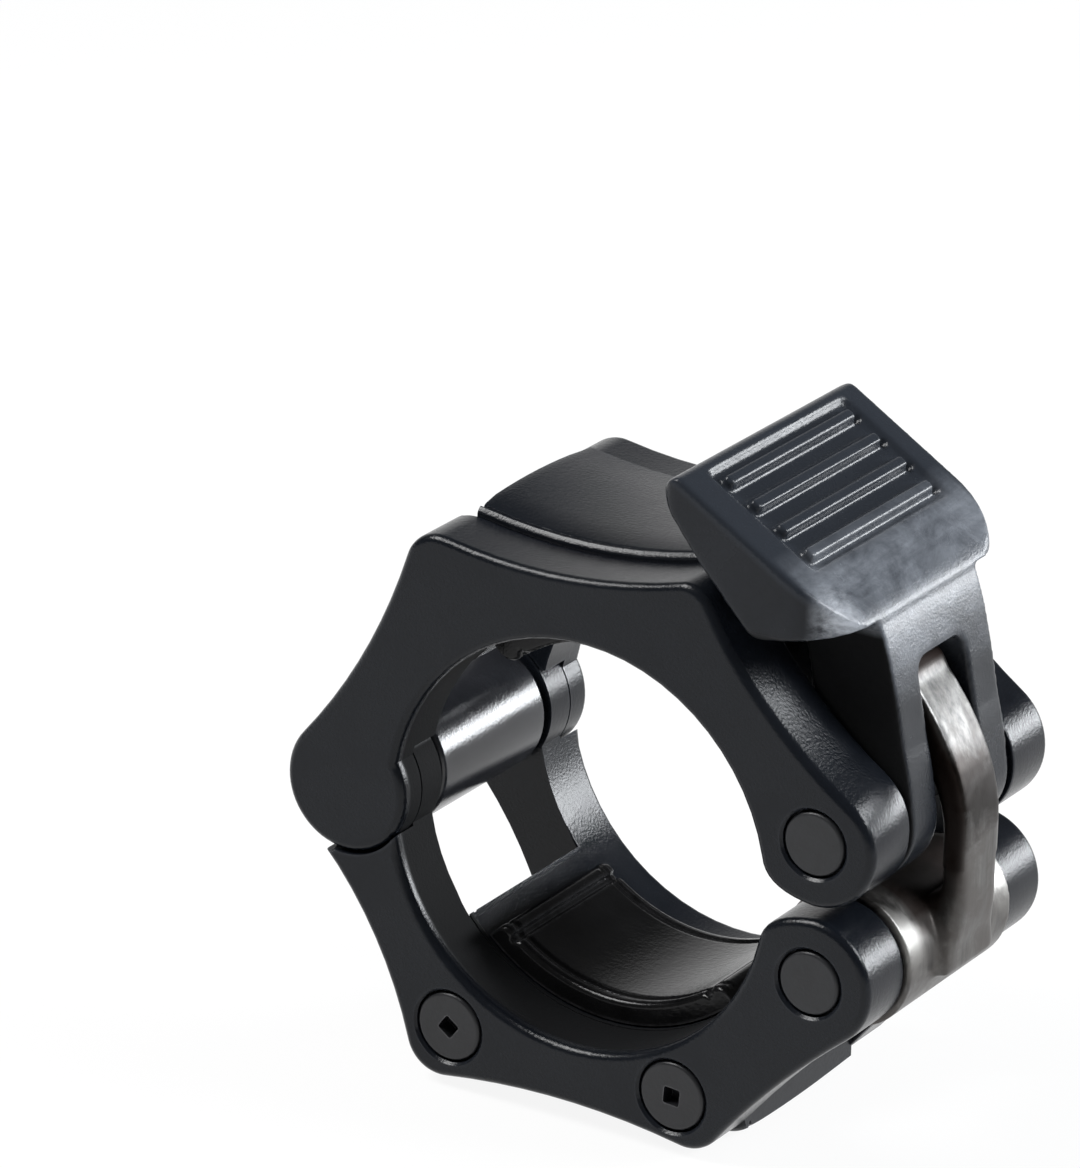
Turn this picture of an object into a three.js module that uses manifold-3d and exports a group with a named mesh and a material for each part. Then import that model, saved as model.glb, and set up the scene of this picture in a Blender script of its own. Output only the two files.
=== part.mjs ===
// A lever-locking collar that clamps on the 50 mm sleeve of a barbell.
// Two jaws swing on a hinge at the left (-X). At the right (+X) a lever on the upper jaw pulls
// a steel link that hooks round a pin in the lower jaw, so that the two jaws close on the sleeve.
// Lengths are in millimetres. The sleeve runs along Y, -Y is the front and +Z is up.
// The origin is the centre of the bore, halfway along it.
import * as THREE from "three";
import { mergeVertices } from "three/addons/utils/BufferGeometryUtils.js";
import Module from "manifold-3d";

const wasm = await Module();
wasm.setup();

// Driving sizes of the bore and the two jaws.
const sleeveRadius = 25;
const padThickness = 3.2;
const seatGap = 0.3;
const boreRadius = sleeveRadius + padThickness + seatGap;
const collarWidth = 46;
const cheekThickness = 9.4;
const frontFace = -collarWidth / 2;
const backFace = collarWidth / 2;
const frontInner = frontFace + cheekThickness;
const backInner = backFace - cheekThickness;

// The hinge at the left.
const lobeRadius = 9.3;
const hingeWall = 7.4;
const hinge = { x: -(boreRadius + hingeWall), z: 0 };
const runningGap = 0.3;
const lobeThickness = 4.5;
const lobeReach = 1.7;
const lobeInnerRadius = boreRadius - lobeReach;
const lapStep = 6.2;
const tipDepth = 10;
const tipLength = 2.5;

// The pins at the right: the lever turns on the upper one and the link hooks round the lower one.
const earRadius = 8.8;
const partingGap = 1.8;
const earWall = 7.3;
const pinHeight = earRadius + partingGap / 2;
const leverPin = { x: boreRadius + earWall, z: pinHeight };
const linkPin = { x: boreRadius + earWall, z: -pinHeight };
const mouthBend = 6;
const mouthLead = 1.3;

// The outer corners of each jaw, outside the bore, and how far the sides between them are hollowed.
// Their places across the bore, and those of the screws and the web's ends, are shares of its radius.
const cornerShares = { upperLeft: -0.765, upperRight: 0.561, lowerLeft: -0.719, lowerRight: 0.628 };
const upperLeftCorner = { x: boreRadius * cornerShares.upperLeft, lift: 4.9, radius: 5.3 };
const upperRightCorner = { x: boreRadius * cornerShares.upperRight, lift: 8, radius: 4.2 };
const lowerLeftCorner = { x: boreRadius * cornerShares.lowerLeft, lift: 4.4, radius: 5.4 };
const lowerRightCorner = { x: boreRadius * cornerShares.lowerRight, lift: 4.4, radius: 5.4 };
const upperSags = { lobe: 1.8, crown: 2.2, ear: 1.7 };
const lowerSags = { lobe: 2.6, crown: 1.6, ear: 0.8 };

// The web that joins the two cheeks of a jaw.
const webRise = 1.1;
const webEndShare = 0.765;
const webEnd = boreRadius * webEndShare;

// The rubber pads, each with a key that sits in a pocket of the web.
const padShare = 0.235;
const padEndGap = 0.6;
const keyHalfWidth = 3.5;
const keyDepth = 2.6;
const keyHalfLength = 9;

// Pins and screws.
const fitGap = 0.15;
const pinRadius = 3.2;
const linkPinRadius = 2.6;
const strapPinRadius = 2.5;
const hingePinRadius = 3;
const pinHead = { radius: 4.4, depth: 2.5 };
const capSeat = 1.8;
const blindWall = 2;
const screwHead = { radius: 4.85, depth: 3.2 };
const screwRadius = 2.1;
const recess = { side: 3.3, depth: 2.4 };
const nut = { radius: 4.6, depth: 4 };
const insert = { radius: 3.6, length: 6 };
const threadGap = 0.15;
const lowerLeftLift = 2.1;
const lowerRightLift = 2.7;
const upperLeftLift = 3;
const upperRightLift = 6;
const screwShares = { lowerLeft: -0.663, lowerRight: 0.558, upperLeft: -0.674, upperRight: 0.516 };
const lowerScrews = [
  { name: "left", x: boreRadius * screwShares.lowerLeft, lift: lowerLeftLift },
  { name: "right", x: boreRadius * screwShares.lowerRight, lift: lowerRightLift },
];
const upperScrews = [
  { name: "left", x: boreRadius * screwShares.upperLeft, lift: upperLeftLift },
  { name: "right", x: boreRadius * screwShares.upperRight, lift: upperRightLift },
];

// Washers on both sides of the hinge barrel and of the lever.
const washer = { radius: 7, thickness: 0.8, gap: 0.1 };
const washerInner = backInner - washer.gap - washer.thickness;

// The lever, measured from its own pin: its reach to the left, and its height, which clears the jaw.
const leverReach = 25;
const paddleLift = 13.3;
const upperTop = boreRadius + upperRightCorner.lift + upperRightCorner.radius;
const leverRise = upperTop - pinHeight + paddleLift;
const paddleHalfWidth = 21.5;
const leverHubRadius = 8.7;
const leverHalfWidth = washerInner - washer.gap;
const slotHalfWidth = 5.95;
const slotCeiling = 5.4;
const pocket = { wall: 3.2, nose: 5.1, rib: 1.3, endShare: 0.82 };
const dish = { depth: 1, margin: 1.6, halfLength: 16 };
const ribCount = 4;
const rib = { base: 1.7, top: 1, height: 1.5, sink: 0.4, halfLength: 15, startShare: 0.45 };

// The link: a strap with a small eye in the lever and a wide barrel round the lower pin.
const strapPinInset = 0.8;
const strapPinRise = 15.3;
const strapPin = { x: leverPin.x - strapPinInset, z: leverPin.z + strapPinRise };
const linkBarrelRadius = 9.5;
const linkSwingRoom = 4;
const linkBarrelBore = linkPinRadius + linkSwingRoom;
const linkBarrelHalfWidth = backInner - runningGap;
const strapHalfWidth = 4.7;
const strapThickness = 3.5;
const strapOutset = 12;
const strapEyeRadius = 4.5;
const barrelRadius = 9.1;

// Steps of a round outline, sides of the round pieces, and one overrun for every cut.
const arcSteps = 7;
const padSteps = 20;
const rodSides = 28;
const shankSides = 16;
const barrelSides = 40;
const boreSides = 72;
const hexSides = 6;
const over = 1;

function toSolid(geometry) {
  geometry.deleteAttribute("normal");
  geometry.deleteAttribute("uv");
  const merged = mergeVertices(geometry, 1e-4);
  const mesh = new wasm.Mesh({
    numProp: 3,
    vertProperties: merged.attributes.position.array,
    triVerts: new Uint32Array(merged.index.array),
  });
  return new wasm.Manifold(mesh);
}

function toGeometry(solid) {
  const mesh = solid.getMesh();
  const geometry = new THREE.BufferGeometry();
  geometry.setAttribute("position", new THREE.BufferAttribute(mesh.vertProperties, 3));
  geometry.setIndex(new THREE.BufferAttribute(mesh.triVerts, 1));
  const faceted = geometry.toNonIndexed();
  faceted.computeVertexNormals();
  return faceted;
}

// An outline in X and Z pushed along Y from the front value to the back value.
function prism(shape, front, back) {
  const body = new THREE.ExtrudeGeometry(shape, {
    depth: back - front,
    bevelEnabled: false,
    curveSegments: arcSteps,
  });
  body.rotateX(Math.PI / 2);
  body.translate(0, back, 0);
  return toSolid(body);
}

function rod(centre, radius, front, back, sides = rodSides) {
  const body = new THREE.CylinderGeometry(radius, radius, back - front, sides);
  body.translate(centre.x, (front + back) / 2, centre.z);
  return toSolid(body);
}

function block(x, y, z) {
  const body = new THREE.BoxGeometry(x[1] - x[0], y[1] - y[0], z[1] - z[0]);
  body.translate((x[0] + x[1]) / 2, (y[0] + y[1]) / 2, (z[0] + z[1]) / 2);
  return toSolid(body);
}

function shapeOf(points) {
  return new THREE.Shape(points.map(([x, z]) => new THREE.Vector2(x, z)));
}

const between = (a, b) => [Math.min(a, b), Math.max(a, b)];

// Where the line from p along t meets the line from q along s.
function crossing(p, t, q, s) {
  const along = ((q.x - p.x) * s.y - (q.y - p.y) * s.x) / (t.x * s.y - t.y * s.x);
  return new THREE.Vector2(p.x + t.x * along, p.y + t.y * along);
}

// The side between two corner circles, walked clockwise: it leaves the first circle and meets the
// second so that its middle lies sag inside the straight tangent.
function hollowSide(from, to, sag) {
  const run = new THREE.Vector2(to.x - from.x, to.z - from.z);
  const length = run.length();
  const lean = Math.asin((from.radius - to.radius) / length);
  const outward = Math.atan2(run.y, run.x) + Math.PI / 2 - lean;
  const turn = Math.atan((4 * sag) / length);
  const leave = outward - turn;
  const meet = outward + turn;
  const pointOn = (c, a) => new THREE.Vector2(c.x + c.radius * Math.cos(a), c.z + c.radius * Math.sin(a));
  const start = pointOn(from, leave);
  const end = pointOn(to, meet);
  const startAlong = new THREE.Vector2(Math.sin(leave), -Math.cos(leave));
  const endAlong = new THREE.Vector2(Math.sin(meet), -Math.cos(meet));
  return { leave, meet, end, control: crossing(start, startAlong, end, endAlong) };
}

// The outline of an upper jaw, above the parting: hinge lobe, two corners, ear and mouth.
// The lower jaw is the same kind of outline turned over.
function jawOutline(corners, sags, grow, upper) {
  const lobe = { x: hinge.x, z: 0, radius: lobeRadius + grow };
  const ear = { x: leverPin.x, z: pinHeight, radius: earRadius + grow };
  const left = { x: corners[0].x, z: boreRadius + corners[0].lift, radius: corners[0].radius + grow };
  const right = { x: corners[1].x, z: boreRadius + corners[1].lift, radius: corners[1].radius + grow };
  const sides = [
    hollowSide(lobe, left, sags.lobe),
    hollowSide(left, right, sags.crown),
    hollowSide(right, ear, sags.ear),
  ];
  const path = new THREE.Path();
  path.moveTo(lobe.x, lobe.z);
  path.lineTo(lobe.x, lobe.z - lobe.radius);
  const stops = [lobe, left, right, ear];
  let from = Math.PI * 1.5;
  sides.forEach((side, i) => {
    path.absarc(stops[i].x, stops[i].z, stops[i].radius, from, side.leave, true);
    path.quadraticCurveTo(side.control.x, side.control.y, side.end.x, side.end.y);
    from = side.meet;
  });
  path.absarc(ear.x, ear.z, ear.radius, from, -Math.PI / 2, true);
  const rim = Math.sqrt(boreRadius ** 2 - mouthBend ** 2);
  path.quadraticCurveTo(rim + mouthLead / 2, partingGap / 2 + mouthLead / 2, rim, mouthBend);
  path.lineTo(lobe.x, lobe.z);
  const turnOver = upper ? 1 : -1;
  return shapeOf(path.getPoints(arcSteps).map((p) => [p.x, p.y * turnOver]));
}

const upperCorners = [upperLeftCorner, upperRightCorner];
const lowerCorners = [lowerLeftCorner, lowerRightCorner];
const upperCheek = jawOutline(upperCorners, upperSags, 0, true);
const lowerCheek = jawOutline(lowerCorners, lowerSags, 0, false);
const upperBand = jawOutline(upperCorners, upperSags, webRise, true);
const lowerBand = jawOutline(lowerCorners, lowerSags, webRise, false);

const origin = { x: 0, z: 0 };
const bore =(front, back, radius = boreRadius) => rod(origin, radius, front - over, back + over, boreSides);

// One slice of a cheek. The slice next to the outer face carries the upper jaw's hinge lobe and
// the inner slice carries the lower jaw's, so that the two jaws lap at the hinge.
function cheekSlice(outline, front, back, carriesLobe, upper) {
  const plate = prism(outline, front, back).subtract(bore(front, back));
  if (carriesLobe) {
    const lobe = rod(hinge, lobeRadius, front, back).subtract(bore(front, back, lobeInnerRadius));
    return plate.add(lobe);
  }
  const room = rod(hinge, lobeRadius + runningGap, front - over, back + over);
  const reach = hinge.x - lobeRadius - collarWidth;
  const band = (low, high) => (upper ? [low, high] : [-high, -low]);
  const depth = [front - over, back + over];
  const leftStep = upper ? lobeRadius + runningGap : tipDepth;
  const leftEdge = upper ? hinge.x : hinge.x - tipLength;
  const cutLeft = block([reach, leftEdge], depth, band(-lobeRadius * 2, leftStep));
  const cutRight = block([hinge.x, 0], depth, band(-lobeRadius * 2, upper ? lapStep : 0));
  return plate.subtract(room).subtract(cutLeft).subtract(cutRight);
}

// A whole cheek: an outer slice and an inner one, with a running gap at the hinge lobe between them.
function cheek(outline, atFront, upper) {
  const sign = atFront ? 1 : -1;
  const outer = atFront ? frontFace : backFace;
  const inner = atFront ? frontInner : backInner;
  const lap = outer + sign * lobeThickness;
  const lapInner = lap + sign * runningGap;
  const outerPart = cheekSlice(outline, ...between(outer, lapInner), upper, upper);
  const innerPart = cheekSlice(outline, ...between(lapInner, inner), !upper, upper);
  const whole = outerPart.add(innerPart);
  if (!upper) {
    return whole;
  }
  return whole.subtract(rod(hinge, lobeRadius + runningGap, ...between(lap, lapInner)));
}

// The web: the band between the cheeks, cut square at both ends.
function web(outline, front, back) {
  const band = prism(outline, front, back);
  const height = boreRadius * 2;
  const ends = block([-webEnd, webEnd], [front - over, back + over], [-height, height]);
  return band.intersect(ends).subtract(bore(front, back));
}

function padKeyPocket(upper) {
  const side = upper ? 1 : -1;
  const half = keyHalfWidth + seatGap;
  const length = keyHalfLength + seatGap;
  const floor = boreRadius + keyDepth + seatGap;
  return block([-half, half], [-length, length], between(side * sleeveRadius, side * floor));
}

// A rubber pad: a sector of a ring between the sleeve and the web, with its key.
function pad(upper) {
  const side = upper ? 1 : -1;
  const half = Math.PI * padShare;
  const middle = (Math.PI / 2) * side;
  const outer = boreRadius - seatGap;
  const arc = (radius, from, to) =>
    Array.from({ length: padSteps + 1 }, (_, i) => {
      const angle = from + ((to - from) * i) / padSteps;
      return [radius * Math.cos(angle), radius * Math.sin(angle)];
    });
  const outside = arc(outer, middle - half, middle + half);
  const inside = arc(sleeveRadius, middle + half, middle - half);
  const length = backInner - padEndGap;
  const ring = prism(shapeOf([...outside, ...inside]), -length, length);
  const low = sleeveRadius + padThickness / 2;
  const keyRun = between(side * low, side * (boreRadius + keyDepth));
  return ring.add(block([-keyHalfWidth, keyHalfWidth], [-keyHalfLength, keyHalfLength], keyRun));
}

const screwPlace = (screw, upper) => {
  const z = boreRadius + screw.lift;
  return { x: screw.x, z: upper ? z : -z };
};

// The seat of a pin's flush head, at the front or the back face.
function headHole(centre, atFront) {
  const face = atFront ? frontFace : backFace;
  const sign = atFront ? 1 : -1;
  return rod(centre, pinHead.radius + fitGap, ...between(face - sign * over, face + sign * pinHead.depth));
}

function pinHoles(centre, radius, front, back) {
  return rod(centre, radius + fitGap, front, back);
}

const screwHoleRadius = screwRadius + fitGap;

// Lower jaw: screws come from the front, nuts sit in the back cheek.
function lowerScrewHoles(front) {
  return lowerScrews.map((screw) => {
    const at = screwPlace(screw, false);
    const shank = rod(at, screwHoleRadius, frontFace - over, backFace - blindWall);
    const head = rod(at, screwHead.radius + fitGap, frontFace - over, frontFace + screwHead.depth);
    const nutSeat = rod(at, nut.radius + fitGap, backFace - nut.depth, backFace + over, hexSides);
    return front ? shank.add(head) : shank.add(nutSeat);
  });
}

// Upper jaw: screws come from the back, and bite in brass inserts in the front cheek.
function upperScrewHoles(front) {
  return upperScrews.map((screw) => {
    const at = screwPlace(screw, true);
    const shank = rod(at, screwHoleRadius, frontInner - insert.length, backFace + over);
    const head = rod(at, screwHead.radius + fitGap, backFace - screwHead.depth, backFace + over);
    const seat = rod(at, insert.radius + fitGap, frontInner - insert.length - fitGap, frontInner + over);
    return front ? seat : shank.add(head);
  });
}

const cutAll = (solid, cuts) => cuts.reduce((rest, cut) => rest.subtract(cut), solid);

function upperFrontCheek() {
  const plate = cheek(upperCheek, true, true);
  const hingeHole = pinHoles(hinge, hingePinRadius, frontFace + blindWall, frontInner + over);
  const leverHole = pinHoles(leverPin, pinRadius, frontFace - over, frontInner + over);
  return cutAll(plate, [hingeHole, leverHole, headHole(leverPin, true), ...upperScrewHoles(true)]);
}

function upperBody() {
  const plate = cheek(upperCheek, false, true);
  const body = plate.add(web(upperBand, frontInner, backInner + over / 2));
  const hingeHole = pinHoles(hinge, hingePinRadius, backInner - over, backFace + over);
  const leverHole = pinHoles(leverPin, pinRadius, backInner - over, backFace + over);
  const heads = [headHole(leverPin, false), headHole(hinge, false)];
  return cutAll(body, [hingeHole, leverHole, ...heads, padKeyPocket(true), ...upperScrewHoles(false)]);
}

function lowerFrontCheek() {
  const plate = cheek(lowerCheek, true, false);
  const hingeHole = pinHoles(hinge, hingePinRadius, frontFace - over, frontInner + over);
  const linkHole = pinHoles(linkPin, linkPinRadius, frontFace - over, frontInner + over);
  return cutAll(plate, [hingeHole, linkHole, headHole(linkPin, true), ...lowerScrewHoles(true)]);
}

function lowerBody() {
  const plate = cheek(lowerCheek, false, false);
  const body = plate.add(web(lowerBand, frontInner, backInner + over / 2));
  const hingeHole = pinHoles(hinge, hingePinRadius, backInner - over, backFace + over);
  const linkHole = pinHoles(linkPin, linkPinRadius, backInner - over, backFace + over);
  const heads = [headHole(linkPin, false)];
  return cutAll(body, [hingeHole, linkHole, ...heads, padKeyPocket(false), ...lowerScrewHoles(false)]);
}

// A pin with a flush head at the front; its plain end sits in a cap at the back.
const pinEnd = backFace - pinHead.depth;

function headedPin(centre, radius) {
  const shank = rod(centre, radius, frontFace + pinHead.depth - fitGap, pinEnd + capSeat - fitGap);
  const head = rod(centre, pinHead.radius, frontFace, frontFace + pinHead.depth - fitGap);
  return shank.add(head);
}

function pinCap(centre, radius) {
  const cap = rod(centre, pinHead.radius, pinEnd + fitGap, backFace);
  return cap.subtract(pinHoles(centre, radius, pinEnd - over, pinEnd + capSeat));
}

// The hinge pin goes in from the back and ends blind in the front lobe.
function hingePinSolid() {
  const shank = rod(hinge, hingePinRadius, frontFace + blindWall + fitGap, backFace - fitGap);
  const head = rod(hinge, pinHead.radius, pinEnd + fitGap, backFace);
  return shank.add(head);
}

function tube(centre, radius, hole, front, back) {
  return rod(centre, radius, front, back).subtract(rod(centre, hole, front - over, back + over));
}

// A screw with a square socket, its head flush with the front face or with the back face.
function screwSolid(at, atFront, end) {
  const face = atFront ? frontFace : backFace;
  const sign = atFront ? 1 : -1;
  const under = face + sign * (screwHead.depth - fitGap);
  const head = rod(at, screwHead.radius, ...between(face, under));
  const shank = rod(at, screwRadius, ...between(under - (sign * over) / 2, end), shankSides);
  const half = recess.side / 2;
  const run = between(face - sign * over, face + sign * recess.depth);
  const socket = block([at.x - half, at.x + half], run, [at.z - half, at.z + half]);
  return head.add(shank).subtract(socket);
}

// The lever's paddle in shares of its reach and rise from the pin: its tip, top, root and underside.
const paddleShares = {
  tip: [-1, 0.953],
  nose: [-0.955, 0.992],
  crest: [-0.89, 1],
  topEnd: [-0.195, 0.762],
  shoulder: [-0.02, 0.7],
  side: [-0.015, 0.6],
  corner: [-0.015, 0.545],
  heel: [-0.1, 0.528],
  notch: [-0.3, 0.582],
  arch: [-0.4, 0.585],
  rise: [-0.51, 0.648],
  under: [-0.75, 0.77],
  lip: [-0.94, 0.898],
};
const armShares = {
  innerLow: [-0.316, 0.187],
  innerHigh: [-0.276, 0.37],
  innerTop: [-0.34, 0.54],
  shoulder: [0.04, 0.69],
  outerTop: [0.112, 0.58],
  outerHigh: [0.168, 0.44],
  outerLow: [0.27, 0.24],
};
const hubSideShares = [0.95, 0.7];
const leverPoint = ([across, up]) => [leverPin.x + across * leverReach, leverPin.z + up * leverRise];

function paddleShape() {
  const s = paddleShares;
  const path = new THREE.Path();
  path.moveTo(...leverPoint(s.tip));
  path.quadraticCurveTo(...leverPoint(s.nose), ...leverPoint(s.crest));
  path.lineTo(...leverPoint(s.topEnd));
  path.quadraticCurveTo(...leverPoint(s.shoulder), ...leverPoint(s.side));
  path.quadraticCurveTo(...leverPoint(s.corner), ...leverPoint(s.heel));
  path.quadraticCurveTo(...leverPoint(s.notch), ...leverPoint(s.arch));
  path.lineTo(...leverPoint(s.rise));
  path.lineTo(...leverPoint(s.under));
  path.lineTo(...leverPoint(s.lip));
  return shapeOf(path.getPoints(arcSteps).map((p) => [p.x, p.y]));
}

function armShape() {
  const s = armShares;
  const path = new THREE.Path();
  path.moveTo(leverPin.x - leverHubRadius, leverPin.z);
  path.quadraticCurveTo(...leverPoint(s.innerLow), ...leverPoint(s.innerHigh));
  path.lineTo(...leverPoint(s.innerTop));
  path.lineTo(...leverPoint(paddleShares.rise));
  path.lineTo(...leverPoint(paddleShares.topEnd));
  path.quadraticCurveTo(...leverPoint(s.shoulder), ...leverPoint(s.outerTop));
  path.quadraticCurveTo(...leverPoint(s.outerHigh), ...leverPoint(s.outerLow));
  const hubSide = hubSideShares.map((share) => share * leverHubRadius);
  const hubEnd = leverPin.x + leverHubRadius;
  path.quadraticCurveTo(leverPin.x + hubSide[0], leverPin.z + hubSide[1], hubEnd, leverPin.z);
  return shapeOf(path.getPoints(arcSteps).map((p) => [p.x, p.y]));
}

// The ribbed and dished top of the paddle lies along the line from its crest to its end.
function topFrame() {
  const crest = new THREE.Vector2(...leverPoint(paddleShares.crest));
  const end = new THREE.Vector2(...leverPoint(paddleShares.topEnd));
  const along = end.clone().sub(crest).normalize();
  const up = new THREE.Vector2(-along.y, along.x);
  const at = (run, height) => {
    const point = crest.clone().addScaledVector(along, run).addScaledVector(up, height);
    return [point.x, point.y];
  };
  return { at, length: crest.distanceTo(end) };
}

function leverSolid() {
  const paddle = prism(paddleShape(), -paddleHalfWidth, paddleHalfWidth);
  const arms = prism(armShape(), -leverHalfWidth, leverHalfWidth);
  const hub = rod(leverPin, leverHubRadius, -leverHalfWidth, leverHalfWidth);
  const reach = leverRise * 2;
  const slot = block(
    [leverPin.x - reach, leverPin.x + reach],
    [-slotHalfWidth, slotHalfWidth],
    [leverPin.z - reach, strapPin.z + slotCeiling],
  );
  const solid = arms.add(hub).subtract(slot).add(paddle);
  const top = topFrame();
  const dishShape = shapeOf([
    top.at(dish.margin, -dish.depth),
    top.at(top.length, -dish.depth),
    top.at(top.length, over),
    top.at(dish.margin - dish.depth, over),
  ]);
  const dishCut = prism(dishShape, -dish.halfLength, dish.halfLength);
  const ceiling = -(pocket.wall + dish.depth);
  const heel = top.length * pocket.endShare;
  const pocketShape = shapeOf([
    top.at(pocket.nose, ceiling),
    top.at(heel, ceiling),
    top.at(heel, -leverRise / 2),
    top.at(pocket.nose, -leverRise / 2),
  ]);
  const pocketSide = paddleHalfWidth - pocket.wall;
  const pocketFront = prism(pocketShape, -pocketSide, -pocket.rib);
  const pocketBack = prism(pocketShape, pocket.rib, pocketSide);
  const pinHole = pinHoles(leverPin, pinRadius, -leverHalfWidth - over, leverHalfWidth + over);
  const strapHole = pinHoles(strapPin, strapPinRadius, -leverHalfWidth + blindWall, leverHalfWidth + over);
  return cutAll(solid, [dishCut, pocketFront, pocketBack, pinHole, strapHole]).add(topRibs(top));
}

function topRibs(top) {
  const pitch = (top.length - dish.margin) / ribCount;
  const bars = Array.from({ length: ribCount }, (_, i) => {
    const run = dish.margin + pitch * (i + rib.startShare);
    const floor = -dish.depth - rib.sink;
    const crest = -dish.depth + rib.height;
    const bar = shapeOf([
      top.at(run - rib.base / 2, floor),
      top.at(run + rib.base / 2, floor),
      top.at(run + rib.top / 2, crest),
      top.at(run - rib.top / 2, crest),
    ]);
    return prism(bar, -rib.halfLength, rib.halfLength);
  });
  return bars.reduce((all, bar) => all.add(bar));
}

// The strap's heights in shares of the barrel's radius and of the ear's, from the pins beside them.
const strapFootShares = { low: -0.1, side: 0.98, flare: 0.1, outerRise: 0.7, innerRise: 0.75 };
const strapWaistShares = { low: -0.3, high: 0.75 };
// Where its two faces meet the eye, in shares of the eye's radius, and the pull of the inner bend
// in shares of the strap's thickness.
const strapEyeShares = { outer: [0.95, 0.3], inner: [0.35, -0.93] };
const strapBendShares = { outer: 0.1, inner: 0.3, drop: 0.6 };

// The strap's outer face rises beside the barrel, then bends in to the eye under the lever's root.
function strapShape() {
  const outer = linkPin.x + strapOutset;
  const inner = outer - strapThickness;
  const foot = (share) => linkPin.z + linkBarrelRadius * share;
  const waist = leverPin.z + earRadius * strapWaistShares.low;
  const bend = leverPin.z + earRadius * strapWaistShares.high;
  const eye = ([x, z]) => [strapPin.x + strapEyeRadius * x, strapPin.z + strapEyeRadius * z];
  const pull = (share) => strapThickness * share;
  const path = new THREE.Path();
  path.moveTo(linkPin.x, foot(strapFootShares.low));
  path.lineTo(linkPin.x + linkBarrelRadius * strapFootShares.side, foot(strapFootShares.low));
  path.quadraticCurveTo(outer, foot(strapFootShares.flare), outer, foot(strapFootShares.outerRise));
  path.lineTo(outer, waist);
  path.quadraticCurveTo(outer - pull(strapBendShares.outer), bend, ...eye(strapEyeShares.outer));
  path.lineTo(strapPin.x, strapPin.z);
  path.lineTo(...eye(strapEyeShares.inner));
  const innerBend = [inner - pull(strapBendShares.inner), bend - pull(strapBendShares.drop)];
  path.quadraticCurveTo(...innerBend, inner, waist - pull(strapBendShares.inner));
  path.lineTo(inner, foot(strapFootShares.innerRise));
  path.lineTo(linkPin.x, foot(strapFootShares.innerRise));
  return shapeOf(path.getPoints(arcSteps).map((p) => [p.x, p.y]));
}

function linkSolid() {
  const half = linkBarrelHalfWidth;
  const barrel = rod(linkPin, linkBarrelRadius, -half, half, barrelSides);
  const strap = prism(strapShape(), -strapHalfWidth, strapHalfWidth);
  const eye = rod(strapPin, strapEyeRadius, -strapHalfWidth, strapHalfWidth);
  const barrelBore = rod(linkPin, linkBarrelBore, -half - over, half + over, barrelSides);
  const eyeBore = pinHoles(strapPin, strapPinRadius, -strapHalfWidth - over, strapHalfWidth + over);
  return strap.add(eye).add(barrel).subtract(barrelBore).subtract(eyeBore);
}

const finishes = {
  moulding: { color: 0x1d1e21, roughness: 0.55, metalness: 0 },
  leverResin: { color: 0x25262a, roughness: 0.35, metalness: 0 },
  rubber: { color: 0x141416, roughness: 0.7, metalness: 0 },
  blackSteel: { color: 0x1a1a1c, roughness: 0.45, metalness: 0.6 },
  barrelResin: { color: 0x2b2c30, roughness: 0.2, metalness: 0 },
  steel: { color: 0x8d8a86, roughness: 0.35, metalness: 0.9 },
  brass: { color: 0xb08d4a, roughness: 0.4, metalness: 0.9 },
  nylon: { color: 0x2a2a2c, roughness: 0.6, metalness: 0 },
};

const collar = new THREE.Group();

function addPart(name, solid, finish) {
  const mesh = new THREE.Mesh(toGeometry(solid), new THREE.MeshStandardMaterial(finishes[finish]));
  mesh.name = name;
  collar.add(mesh);
}

addPart("upper_jaw_body", upperBody(), "moulding");
addPart("upper_jaw_front_cheek", upperFrontCheek(), "moulding");
addPart("upper_pad", pad(true), "rubber");
addPart("lower_jaw_body", lowerBody(), "moulding");
addPart("lower_jaw_front_cheek", lowerFrontCheek(), "moulding");
addPart("lower_pad", pad(false), "rubber");

for (const screw of lowerScrews) {
  const at = screwPlace(screw, false);
  const seat = backFace - nut.depth;
  addPart(`lower_screw_${screw.name}`, screwSolid(at, true, backFace - blindWall - over / 2), "blackSteel");
  const nutBody = rod(at, nut.radius, seat + fitGap, backFace, hexSides);
  const thread = rod(at, screwRadius + threadGap, seat - over, backFace + over, shankSides);
  addPart(`lower_nut_${screw.name}`, nutBody.subtract(thread), "blackSteel");
}

for (const screw of upperScrews) {
  const at = screwPlace(screw, true);
  const deepest = frontInner - insert.length;
  const insertBody = tube(at, insert.radius, screwRadius + threadGap, deepest, frontInner - fitGap);
  addPart(`upper_screw_${screw.name}`, screwSolid(at, false, deepest + over / 2), "blackSteel");
  addPart(`upper_insert_${screw.name}`, insertBody, "brass");
}

const washerOuter = backInner - washer.gap;

function addWashers(name, centre, hole) {
  addPart(`${name}_washer_front`, tube(centre, washer.radius, hole, -washerOuter, -washerInner), "nylon");
  addPart(`${name}_washer_back`, tube(centre, washer.radius, hole, washerInner, washerOuter), "nylon");
}

const hingeHoleRadius = hingePinRadius + fitGap;
const hingeBarrel = tube(hinge, barrelRadius, hingeHoleRadius, -leverHalfWidth, leverHalfWidth);
addPart("hinge_pin", hingePinSolid(), "blackSteel");
addPart("hinge_barrel", hingeBarrel, "barrelResin");
addWashers("hinge", hinge, hingeHoleRadius);

addPart("lever", leverSolid(), "leverResin");
addWashers("lever", leverPin, pinRadius + fitGap);
addPart("lever_pin", headedPin(leverPin, pinRadius), "blackSteel");
addPart("lever_pin_cap", pinCap(leverPin, pinRadius), "blackSteel");

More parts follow.
